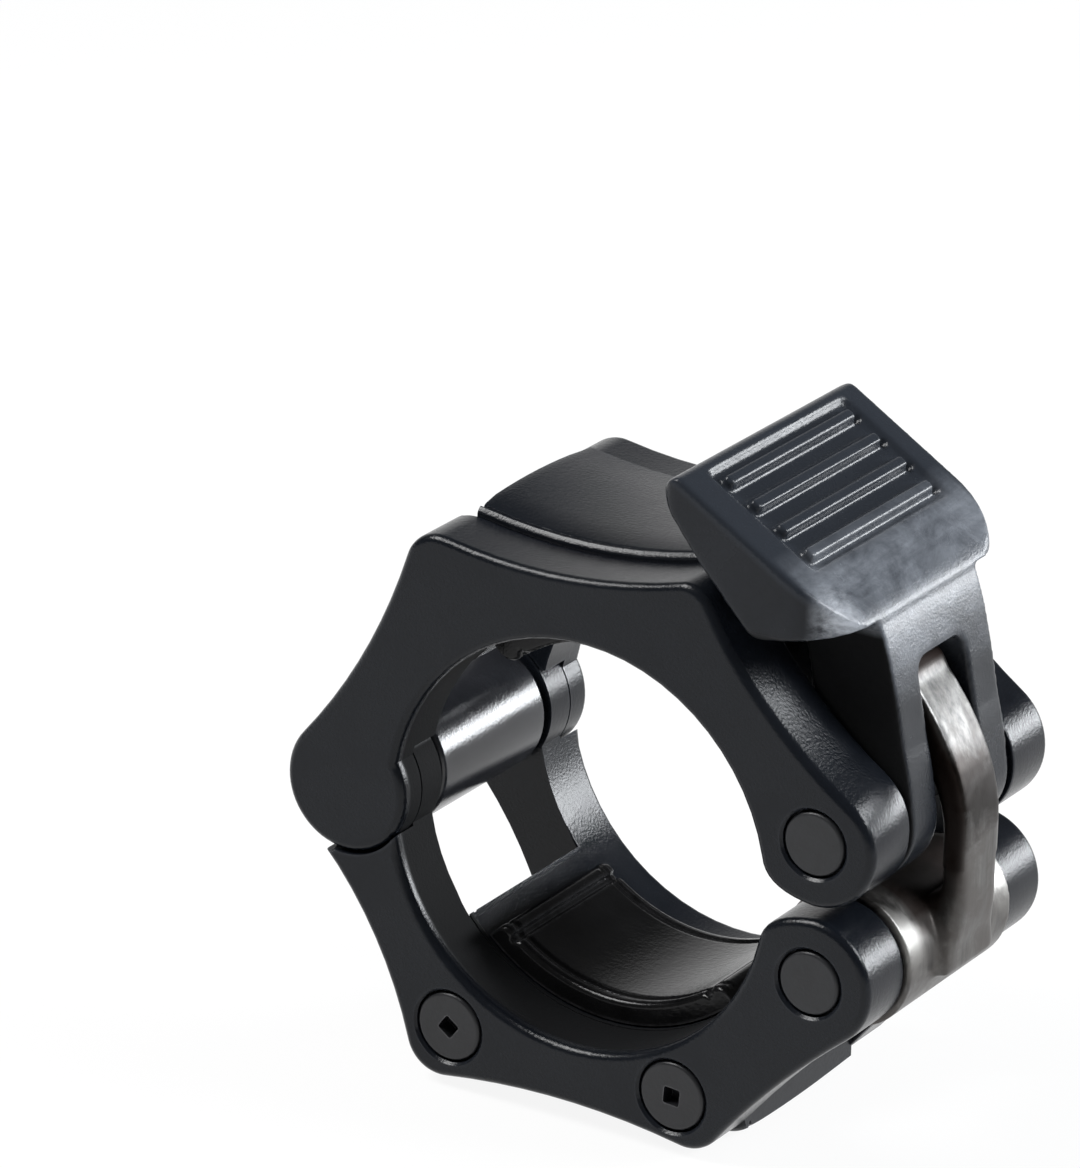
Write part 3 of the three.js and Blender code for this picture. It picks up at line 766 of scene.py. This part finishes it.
def pad(name, node, body, side):
    half = pad_half_turn * sleeve_radius
    places = [(-half + run, lift) for run, lift in pad_ends]
    plain_run = half - pad_ends[-1][0]
    places += [(-plain_run + 2 * plain_run * i / pad_steps, 0) for i in range(1, pad_steps)]
    places += [(half - run, lift) for run, lift in reversed(pad_ends)]
    rings = []
    for run, lift in places:
        angle = run / sleeve_radius + side * math.pi / 2
        rings.append([(r * math.cos(angle), y, r * math.sin(angle)) for y, r in pad_section(lift)])
    piece = loft(name, rings)
    finish_faces(piece)
    hand_over(piece, body, "pad_rubber", node)
    dress(piece, rubber)


# Its edge colour is far paler than the rubber: a painted highlight along the pads' rims.
rubber = moulded(
    "rubber", (0.003, 0.003, 0.0032), (0.006, 0.006, 0.0064),
    gloss=(0.13, 0.22), edge_colour=(0.035, 0.035, 0.037), edge_gloss=0.06, grain=1500.0, specular=0.2,
)
pad("lower_sleeve_pad", "lower_pad", "lower_jaw", -1)

# Hinge barrel: a smooth turned tube in black acetal between the lobes, wiped shiny by use. The hinge
# pin runs through it.
barrel_low, barrel_high = span("hinge_barrel")
barrel = rod(hinge, size("hinge_barrel").x / 2, barrel_low.y, barrel_high.y, sides=128)
barrel.name = "barrel"
barrel_rounding = 0.8
round_rim(barrel, barrel_low.y, barrel_rounding)
round_rim(barrel, barrel_high.y, barrel_rounding)
hinge_shank = 3
bore(barrel, hinge, hinge_shank + shank_gap, barrel_low.y, barrel_high.y)
finish_faces(barrel)
hand_over(barrel, "lower_jaw", "barrel_resin", "hinge_barrel")
dress(barrel, moulded(
    "barrel_resin", (0.016, 0.017, 0.02), (0.024, 0.025, 0.029),
    gloss=(0.13, 0.2), edge_colour=(0.05, 0.05, 0.055), edge_gloss=0.03, depth=0.00001, specular=0.5,
))

# Upper jaw, back half: back cheek and web in one, like the lower one but taller at its right corner.
# Its web is crowned, and the front cheek lies against the thin bead along the web's front.
upper_corners = [
    (bore_radius * -0.765, bore_radius + 4.9, 5.3),
    (bore_radius * 0.561, bore_radius + 8, 4.2),
]
upper_sags = (1.8, 2.2, 1.7)
upper_outline = jaw_outline(upper_corners, upper_sags, 0, True)
upper_crown = 0.8
lever_shank = 3.2
upper_body = cheek("upper_body", upper_outline, False, True)
combine(upper_body, web("web", upper_corners, upper_sags, upper_crown, True), "UNION")
for screw_node in ("upper_screw_left", "upper_screw_right"):
    drill(upper_body, middle(screw_node), screw_seat, screw_seat_depth, False, edge_break)
for spot, shank in ((lever_pin, lever_shank), (hinge, hinge_shank)):
    drill(upper_body, spot, pin_seat, pin_seat_depth, False, edge_break)
    bore(upper_body, spot, shank + shank_gap, cheek_inner, back_face)
finish_faces(upper_body)
hand_over(upper_body, "upper_jaw", "moulding", "upper_jaw_body")
dress(upper_body, moulding)

# Upper jaw, front cheek: a plate in the same nylon, smooth but for the lever pin's seat. It is held
# from behind by two screws in brass inserts. Its sloping side has a draft: it leans in at the face
# and bulges a little behind.
draft_in, draft_out, draft_depth, draft_start, draft_run = 0.9, 0.6, 5.4, 15, 7
upper_front = cheek("upper_front_cheek", upper_outline, True, True)
draft_foot = front_face + draft_depth
edit(upper_front)
bpy.ops.mesh.select_all(action="SELECT")
bpy.ops.mesh.bisect(plane_co=(0, draft_foot * MM, 0), plane_no=(0, 1, 0))
mesh = bmesh.from_edit_mesh(upper_front.data)
mesh.normal_update()
for vert in mesh.verts:
    x, y, z = vert.co / MM
    if x > draft_start and math.hypot(x, z) > bore_radius + face_rounding + fit_gap:
        toward_face = max(0, draft_foot - y) / draft_depth
        lean = (draft_in + draft_out) * toward_face - draft_out
        lean *= min(1, (x - draft_start) / draft_run) * min(1, max(0, (z - lever_pin.z) / draft_run))
        vert.co -= Vector((vert.normal.x, 0, vert.normal.z)).normalized() * lean * MM
bmesh.update_edit_mesh(upper_front.data)
done()
drill(upper_front, lever_pin, pin_seat, pin_seat_depth, True, edge_break)
bore(upper_front, lever_pin, lever_shank + shank_gap, front_face, -cheek_inner)
finish_faces(upper_front)
hand_over(upper_front, "upper_jaw", "moulding", "upper_jaw_front_cheek")
dress(upper_front, moulding)
pad("upper_sleeve_pad", "upper_pad", "upper_jaw", 1)


def bright_metal(name, colour, tarnished, gloss, depth=0.00001):
    """Bare metal with a mottled tarnish and a fine drawn grain."""
    made, tree, shader = material(name)
    surface = place_effect(tree, skin, Grain_Scale=2200.0, Mottle_Scale=240.0)
    tree.links.new(blend(tree, surface["Mottle"], tarnished, colour), shader.inputs["Base Color"])
    tree.links.new(ranged(tree, surface["Mottle"], 0, 1, *reversed(gloss)), shader.inputs["Roughness"])
    shader.inputs["Metallic"].default_value = 1
    bump(tree, shader, surface["Grain"], depth)
    return made


brass = bright_metal("insert_brass", (0.6, 0.42, 0.16), tarnished=(0.34, 0.22, 0.08), gloss=(0.28, 0.42))
dress(nodes["upper_insert_left"], brass)
dress(nodes["upper_insert_right"], brass)

# Lever: one moulding in the same black nylon, glossier, with pale flow marks at its root that also stand
# in for the sheen there as painted reflection. The paddle has a shallow dish with four ribs on top and
# pockets below; two arms straddle the strap.
lever_low, lever_high = span("lever")
lever_reach = lever_pin.x - lever_low.x
lever_rise = lever_high.z - lever_pin.z
paddle_flare = 0.6
paddle_half = lever_high.y + paddle_flare
arm_half = barrel_high.y
strap_pin = middle("strap_pin")
slot_half = 5.95
slot_ceiling = 5.4
slot_rounding = 2.4
slot_end, slot_foot = 80, -20
hub_radius = 8.7
root_margin = 0.3
tip_corner, root_corner = 2.4, 9
plan_low, plan_high = 20, 60
near_by = 0.1
soft_angle = math.radians(50)


def lever_point(across, up):
    return Vector((lever_pin.x + across * lever_reach, lever_pin.z + up * lever_rise))


def path(start, *steps):
    """Sides in turn; a step is the next point, or a pair of a bend's control and its end."""
    segments = []
    for step in steps:
        if isinstance(step, list):
            segments += bend(start, *step)
            start = step[1]
        else:
            segments += straight(start, step)
            start = step
    return segments


tip = lever_point(-1, 0.953)
nose = lever_point(-0.96, 0.998)
crest = lever_point(-0.89, 1.006)
top_end = lever_point(-0.195, 0.77)
root = lever_point(0.1, 0.624)
belly_right = lever_point(-0.02, 0.608)
belly_left = lever_point(-0.4, 0.57)
heel = lever_point(-0.46, 0.585)
under = lever_point(-0.74, 0.752)
lip = lever_point(-0.945, 0.898)
paddle_outline = path(
    tip, [nose, crest], top_end, [lever_point(0.036, 0.693), root], belly_right, belly_left, heel,
    under, lip, tip,
)
hub_left = lever_point(-hub_radius / lever_reach, 0)
hub_right = lever_point(hub_radius / lever_reach, 0)
arm_outline = path(
    hub_left, [lever_point(-0.316, 0.187), lever_point(-0.276, 0.37)], lever_point(-0.34, 0.54),
    lever_point(-0.4, 0.66), top_end, [lever_point(0.044, 0.69), lever_point(0.118, 0.591)],
    [lever_point(0.185, 0.5), lever_point(0.27, 0.24)], [lever_point(0.33, 0.12), hub_right], hub_left,
)
top_along = (top_end - crest).normalized()
top_up = Vector((-top_along.y, top_along.x))
top_length = (top_end - crest).length


def top_point(run, height):
    return crest + top_along * run + top_up * height


def polygon(*points):
    return path(*points, points[0])


def join(piece, *others):
    only(piece)
    for other in others:
        other.select_set(True)
    bpy.ops.object.join()


def melt(piece, voxel, passes):
    """Remeshes a piece of joined solids into one skin and softens its edges and inner corners."""
    only(piece)
    modifier = piece.modifiers.new("remesh", "REMESH")
    modifier.mode = "VOXEL"
    modifier.voxel_size = voxel * MM
    modifier.use_smooth_shade = True
    bpy.ops.object.modifier_apply(modifier=modifier.name)
    modifier = piece.modifiers.new("smooth", "SMOOTH")
    modifier.factor = 0.5
    modifier.iterations = passes
    bpy.ops.object.modifier_apply(modifier=modifier.name)


def upright(x):
    def test(spot, edge):
        a, b = edge.verts[0].co, edge.verts[1].co
        return abs(spot.x - x) < near_by and abs(a.z - b.z) > MM

    return test


def in_slot(spot, edge):
    return spot.z > strap_pin.z and abs(spot.y) > slot_half - near_by


paddle = prism("lever_moulding", paddle_outline, -paddle_half, paddle_half)
root_edge = root.x + root_margin
plan = block((lever_low.x, root_edge), (-paddle_half, paddle_half), (plan_low, plan_high))
bevel_edges(plan, tip_corner, upright(lever_low.x), steps=8)
bevel_edges(plan, root_corner, upright(root_edge), steps=12)
combine(paddle, plan, "INTERSECT")
dish_depth, dish_margin, dish_front, dish_back = 0.9, 1.6, -16.2, 18
dish_short, dish_lead = 0.6, 1.2
dish = polygon(
    top_point(dish_margin, -dish_depth), top_point(top_length - dish_short, -dish_depth),
    top_point(top_length + dish_lead, over), top_point(dish_margin - dish_depth, over),
)
combine(paddle, prism("dish", dish, dish_front, dish_back), "DIFFERENCE")
pocket_wall, pocket_nose, pocket_rib, pocket_length, pocket_mouth = 3.2, 5.1, 1.3, 0.8, -22
pocket_top = -(pocket_wall + dish_depth)
pocket_end = top_length * pocket_length
pocket = polygon(
    top_point(pocket_nose, pocket_top), top_point(pocket_end, pocket_top),
    top_point(pocket_end, pocket_mouth), top_point(pocket_nose, pocket_mouth),
)
for front, back in ((-paddle_half + pocket_wall, -pocket_rib), (pocket_rib, paddle_half - pocket_wall)):
    combine(paddle, prism("pocket", pocket, front, back), "DIFFERENCE")
arms = prism("arms", arm_outline, -arm_half, arm_half)
combine(arms, rod(lever_pin, hub_radius, -arm_half, arm_half, sides=96), "UNION")
slot = block((0, slot_end), (-slot_half, slot_half), (slot_foot, strap_pin.z + slot_ceiling))
bevel_edges(slot, slot_rounding, in_slot, steps=6)
combine(arms, slot, "DIFFERENCE")
join(paddle, arms)
melt(paddle, voxel=0.36, passes=10)
rib_count, rib_base, rib_top, rib_height, rib_rounding = 4, 2.7, 1.4, 1.35, 0.5
rib_front, rib_back = -15, 16.2
rib_start, rib_root = 0.48, 0.6
pit_radius = 0.8
pitch = (top_length - dish_margin) / rib_count
rib_foot, rib_crest = -dish_depth - rib_root, rib_height - dish_depth
bars = []
for i in range(rib_count):
    run = dish_margin + pitch * (i + rib_start)
    section = polygon(
        top_point(run - rib_base / 2, rib_foot), top_point(run + rib_base / 2, rib_foot),
        top_point(run + rib_top / 2, rib_crest), top_point(run - rib_top / 2, rib_crest),
    )
    bars.append(prism("rib", section, rib_front, rib_back))
    round_rim(bars[-1], rib_front, rib_rounding)
    round_rim(bars[-1], rib_back, rib_rounding)
    pit = top_point(run + rib_top / 2, -dish_depth)
    bpy.ops.object.select_all(action="DESELECT")
    bpy.ops.mesh.primitive_uv_sphere_add(
        segments=16, ring_count=8, radius=pit_radius * MM,
        location=(pit.x * MM, (rib_back + pit_radius) * MM, pit.y * MM),
    )
    bpy.ops.object.transform_apply(location=True, rotation=True, scale=True)
    combine(paddle, bpy.context.object, "DIFFERENCE")
join(paddle, *bars)
melt(paddle, voxel=0.3, passes=3)
bore(paddle, lever_pin, lever_shank + fit_gap, -arm_half, arm_half)
finish_faces(paddle, soft_angle)
hand_over(paddle, "lever_arm", "lever_resin", "lever")
lever_resin = moulded(
    "lever_resin", (0.0072, 0.0085, 0.0112), (0.011, 0.0127, 0.0162),
    gloss=(0.2, 0.3), edge_colour=(0.024, 0.026, 0.031), edge_gloss=0.06,
)
tree = lever_resin.node_tree
shader = tree.nodes["Principled BSDF"]
x, _, z, across = place_of(tree)

# Its top is painted a little paler. The flanks of its arms are made matt and darkened with painted shade,
# where the cheek and the paddle shadow them.
pale_top_depth, pale_top_full = 0.0016, 0.0009
flank_across, flank_rise = ((arm_half - 0.4) * MM, (arm_half - 0.15) * MM), (0.0366, 0.035)
top_height = measure(tree, "DOT_PRODUCT", stretched(tree), (top_up.x, 0, top_up.y))
top_level = top_up.dot(crest) * MM
paler_top = ranged(tree, top_height, top_level - pale_top_depth, top_level - pale_top_full)
shaded_flank = product(tree, ranged(tree, across, *flank_across), ranged(tree, z, *flank_rise))

# Pale flow marks cloud its root, where the melt met, painted pale enough to stand in for the sheen there
# too, and a painted highlight whitens one corner of it.
root_along, root_rise, root_across = (0.027, 0.033), (0.026, 0.036), (0.0216, 0.0204)
glint_spot, glint_reach = (0.0345, -0.0185, 0.0383), (0.005, 0.001)
at_root = product(
    tree, ranged(tree, x, *root_along), ranged(tree, z, *root_rise), ranged(tree, across, *root_across),
)
cloud = noise(tree, 120, 8, 0.72, stretched(tree, (1, 0.8, 1.5)), 0.4)
streak = noise(tree, 700, 3, 0.6, stretched(tree, (1, 0.15, 1)), 0.3)
flow_marks_and_sheen = product(tree, at_root, ranged(tree, cloud, 0.24, 0.7), ranged(tree, streak, 0.25, 0.6, 0.6, 1))
from_corner = measure(tree, "DISTANCE", stretched(tree), glint_spot)
corner_glint = product(
    tree, ranged(tree, from_corner, *glint_reach), ranged(tree, cloud, 0.4, 0.6), at_root,
)
tint(tree, shader, paler_top, (0.017, 0.02, 0.0255))
# The flow marks carry a painted sheen, and the corner a painted highlight.
tint(tree, shader, flow_marks_and_sheen, (0.17, 0.183, 0.205))
tint(tree, shader, corner_glint, (0.4, 0.42, 0.45))
# Painted shade darkens the flanks of the arms.
tint(tree, shader, shaded_flank, (0.002, 0.0022, 0.0028))
dull(tree, shader, shaded_flank, 0.85)
dress(paddle, lever_resin)

# Pins: black-finished steel pressed through the cheeks, heads and caps nearly level with them. The
# lever turns on the upper one, the link on the lower one, and the jaws on the one in the barrel.
# Nylon washers keep the moving pieces apart.
pin_black = blacked(
    "pin_black", (0.0095, 0.01, 0.0115), gloss=(0.34, 0.46), bare=(0.16, 0.16, 0.17), edge_amount=0.35,
)


def pin(name, node, body, shank, is_cap):
    spot = middle(node)
    low, high = span(node)
    at_front = low.y < front_face + over
    end = high.y if at_front else low.y
    piece = headed(name, spot, size(node).x / 2, shank, at_front, None if is_cap else end)
    finish_faces(piece)
    hand_over(piece, body, "pin_black", node)
    dress(piece, pin_black)


pin("pin_lever", "lever_pin", "upper_jaw", lever_shank, False)
pin("cap_lever", "lever_pin_cap", "upper_jaw", lever_shank, True)
pin("pin_hinge", "hinge_pin", "upper_jaw", hinge_shank, False)
pin("pin_link", "link_pin", "lower_jaw", link_shank, False)
pin("cap_link", "link_pin_cap", "lower_jaw", link_shank, True)
strap_steel = bright_metal("pin_steel", (0.5, 0.5, 0.5), tarnished=(0.3, 0.28, 0.27), gloss=(0.25, 0.4))
dress(nodes["strap_pin"], strap_steel)
nylon = moulded(
    "nylon", (0.004, 0.004, 0.0045), (0.007, 0.007, 0.0075),
    gloss=(0.5, 0.6), edge_colour=(0.012, 0.012, 0.012), edge_gloss=0.05,
)
for name in nodes.keys():
    if "washer" in name:
        dress(nodes[name], nylon)

# Link: cast steel in one piece, a barrel on the lower pin and a strap that rises from a blended foot into
# the lever's slot. Its sides are rust brown, with painted shade at its top and behind its foot, and the
# ends of its barrel carry a painted highlight.
strap_half, strap_thickness, strap_outset, eye_radius, eye_bore = 4.7, 3.5, 12, 4.5, 2.65
roller_radius, roller_bore = 9.5, 6.6
flare_inset, flare_spread = 0.9, 1.4
outer = link_pin.x + strap_outset
inner = outer - strap_thickness
waist = lever_pin.z - ear_radius * 0.3
strap_bend = lever_pin.z + ear_radius * 0.75


def foot(across, up):
    return Vector((link_pin.x + roller_radius * across, link_pin.z + roller_radius * up))


def eye(x, z):
    return Vector((strap_pin.x + eye_radius * x, strap_pin.z + eye_radius * z))


strap_outline = path(
    foot(0, -0.1), foot(0.5, -0.6), foot(0.85, -0.5), [(outer, foot(0, 0).y), (outer, foot(0, 0.75).y)],
    (outer, waist), [(outer, strap_bend), eye(0.95, 0.3)], eye(0, 0), eye(0.35, -0.93),
    [(inner, strap_bend - strap_thickness * 0.6), (inner, waist - strap_thickness * 0.3)],
    (inner, foot(0, 0.3).y), foot(0.5, 0.3), foot(0, -0.1),
)
strap = prism("steel_link", strap_outline, -strap_half, strap_half)
flare_rise = (foot(0, -0.3).y, foot(0, 0.85).y)
flare = block((foot(0.7, 0).x, outer - flare_inset), (-strap_half, strap_half), flare_rise)
mesh = edit(flare, "VERT")
for vert in mesh.verts:
    vert.select = vert.co.z < foot(0, 0.5).y * MM
bpy.ops.transform.resize(value=(1, flare_spread, 1), center_override=(0, 0, 0))
done()
join(strap, flare, rod(strap_pin, eye_radius, -strap_half, strap_half, sides=64))
melt(strap, voxel=0.4, passes=10)
link_half = span("link")[1].y
join(strap, rod(link_pin, roller_radius, -link_half, link_half, sides=128))
melt(strap, voxel=0.28, passes=5)

# The foot's inner corners are worked smooth, short of the barrel's ends.
foot_passes, foot_margin = 24, 2
foot_start, foot_low, foot_high = foot(0.45, 0).x, foot(0, -0.75).y, foot(0, 1.25).y
mesh = edit(strap, "VERT")
near_foot = []
for vert in mesh.verts:
    x, y, z = vert.co / MM
    if x > foot_start and abs(y) < link_half - foot_margin and foot_low < z < foot_high:
        near_foot.append(vert)
for i in range(foot_passes):
    bmesh.ops.smooth_vert(
        mesh, verts=near_foot, factor=0.5, use_axis_x=True, use_axis_y=True, use_axis_z=True,
    )
bmesh.update_edit_mesh(strap.data)
done()
bore(strap, link_pin, roller_bore, -link_half, link_half)
bore(strap, strap_pin, eye_bore, -strap_half, strap_half)
finish_faces(strap, soft_angle)
hand_over(strap, "link_strap", "link_steel", "link")

link_steel, tree, shader = material("link_steel")
surface = place_effect(tree, skin, Grain_Scale=1500.0, Mottle_Scale=220.0)
mottle = surface["Mottle"]
streaks = noise(tree, 900, 4, 0.65, stretched(tree, (1, 1, 0.06)))
x, _, z, across = place_of(tree)

# It is streaked along its length, and tarnished less towards its top.
worn_rise = (0.008, 0.026)
worn = ranged(tree, z, *worn_rise)
tarnish = sum_up(tree, "SUBTRACT", mottle, sum_up(tree, "MULTIPLY", worn, 0.8))
tarnish = ranged(tree, tarnish, -0.1, 0.7)
steel = blend(tree, ranged(tree, streaks, 0.35, 0.65), (0.07, 0.07, 0.07), (0.16, 0.158, 0.152))
body = blend(tree, tarnish, steel, (0.07, 0.064, 0.06))
tree.links.new(body, shader.inputs["Base Color"])

# A dark band with a wavy edge crosses it above the foot.
band_low, band_high, band_wave = (0.005, 0.0095), (0.0145, 0.0195), 0.0025
wavy = sum_up(tree, "ADD", z, ranged(tree, mottle, 0, 1, -band_wave, band_wave))
band = product(tree, ranged(tree, wavy, *band_low), ranged(tree, wavy, *band_high, 1, 0.34), 0.97)
tint(tree, shader, band, (0.006, 0.0036, 0.0026))

# The ends of its barrel carry a painted highlight.
glint_across, glint_rise = (0.0086, 0.0105), (-0.011, -0.006)
bare = product(
    tree, ranged(tree, across, *glint_across), ranged(tree, mottle, 0.1, 0.6), ranged(tree, z, *glint_rise),
)
tint(tree, shader, bare, (0.22, 0.215, 0.205))

# Dark rust brown is painted on the strap's sides, at its top and behind its foot; at the top, inside the
# lever's slot, and behind the foot it is painted shade as well.
side_across, side_rise, top_rise = (0.0042, 0.0047), (-0.004, 0.002), (0.0262, 0.0278)
back_along, back_across = (0.0462, 0.0442), (0.0105, 0.0085)
back_low, back_high = (-0.0065, -0.0035), (0.0075, 0.0055)
sides = product(tree, ranged(tree, across, *side_across), ranged(tree, z, *side_rise))
at_top = ranged(tree, z, *top_rise)
behind = product(
    tree, ranged(tree, x, *back_along), ranged(tree, z, *back_low), ranged(tree, across, *back_across),
    ranged(tree, z, *back_high),
)
rust_and_shade = sum_up(tree, "MAXIMUM", sum_up(tree, "MAXIMUM", sides, at_top), behind)
# Rust brown, with painted shade at the top and behind the foot.
tint(tree, shader, rust_and_shade, (0.009, 0.0045, 0.003))
metal = ranged(tree, tarnish, 0, 1, 0.95, 0.7)
metal = sum_up(tree, "SUBTRACT", metal, sum_up(tree, "MULTIPLY", rust_and_shade, 0.1))
tree.links.new(metal, shader.inputs["Metallic"])
tree.links.new(ranged(tree, mottle, 0, 1, 0.3, 0.45), shader.inputs["Roughness"])
dull(tree, shader, rust_and_shade, 0.65)
bump(tree, shader, streaks, 0.00002)
dress(strap, link_steel)

# Studio: a white floor that keeps a soft shadow, a room that is bright at the rear left, and soft
# lamps high at the left, low behind and high at the right. The camera stands as in the photograph.
floor_size, floor_shine, floor_colour = 6, 0.9, (0.9, 0.9, 0.9, 1)
floor_level = min(cad_box[0][2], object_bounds()[0][2])
bpy.ops.object.select_all(action="DESELECT")
bpy.ops.mesh.primitive_plane_add(size=floor_size, location=(0, 0, floor_level))
floor = bpy.context.object
floor.name = "floor"
floor_paint, tree, shader = material("floor")
shader.inputs["Base Color"].default_value = floor_colour
shader.inputs["Roughness"].default_value = 0.9
rays = add(tree, "ShaderNodeLightPath").outputs
seen = sum_up(tree, "MAXIMUM", rays["Is Camera Ray"], rays["Is Glossy Ray"])
seen = sum_up(tree, "MAXIMUM", seen, rays["Is Transmission Ray"])
white = add(tree, "ShaderNodeEmission", Strength=1.0).outputs["Emission"]
seen = sum_up(tree, "MULTIPLY", seen, floor_shine)
mixed = add(tree, "ShaderNodeMixShader", i0=seen, i1=shader.outputs["BSDF"], i2=white)
tree.links.new(mixed.outputs["Shader"], tree.nodes["Material Output"].inputs["Surface"])
dress(floor, floor_paint)

world = bpy.data.worlds.new("world")
bpy.context.scene.world = world
world.use_nodes = True
tree = world.node_tree
toward = add(tree, "ShaderNodeTexCoord").outputs["Generated"]
rear_left, glow_edge, glow_full, room_dim = (-0.7, 0.71, 0.05), 0.78, 0.97, 0.12
room = measure(tree, "DOT_PRODUCT", toward, rear_left)
room = ranged(tree, room, glow_edge, glow_full, room_dim, 1)
rays = add(tree, "ShaderNodeLightPath").outputs
room = sum_up(tree, "MAXIMUM", room, rays["Is Camera Ray"])
tree.links.new(room, tree.nodes["Background"].inputs["Strength"])
tree.nodes["Background"].inputs["Color"].default_value = (1, 1, 1, 1)


def softbox(name, place, width, height, power, colour):
    light = bpy.data.lights.new(name, "AREA")
    light.shape = "RECTANGLE"
    light.size = width
    light.size_y = height
    light.energy = power
    light.color = colour
    lamp = bpy.data.objects.new(name, light)
    bpy.context.collection.objects.link(lamp)
    lamp.location = place
    lamp.rotation_euler = (-Vector(place)).to_track_quat("-Z", "Y").to_euler()


plain, cool = (1, 1, 1), (0.94, 0.97, 1)
softbox("overhead", (-0.44, -0.33, 0.72), 0.4, 0.4, power=9, colour=plain)
softbox("rear_right", (0.56, 0.75, 0.15), 0.5, 0.24, power=8, colour=cool)
softbox("right", (0.72, 0.28, 0.54), 0.36, 0.34, power=9, colour=cool)

view_turn = math.radians(32.14)
view_rise = math.radians(21.57)
view_roll = math.radians(1.23)
view_distance = 915.8
view_target = Vector((-20.38, 0, 24.99))
image_height = 1168
lens_in_pixels = 6903.8
sensor_height = 24.0
toward_camera = Vector((
    math.sin(view_turn) * math.cos(view_rise),
    -math.cos(view_turn) * math.cos(view_rise),
    math.sin(view_rise),
))
bpy.ops.object.camera_add(location=(view_target + toward_camera * view_distance) * MM)
camera = bpy.context.object
camera.rotation_euler = toward_camera.to_track_quat("Z", "Y").to_euler()
camera.rotation_euler.rotate_axis("Z", view_roll)
camera.data.sensor_fit = "VERTICAL"
camera.data.sensor_height = sensor_height
camera.data.lens = lens_in_pixels / image_height * sensor_height
camera.data.clip_end = 10
bpy.context.scene.camera = camera
bpy.context.scene.view_settings.view_transform = "Standard"
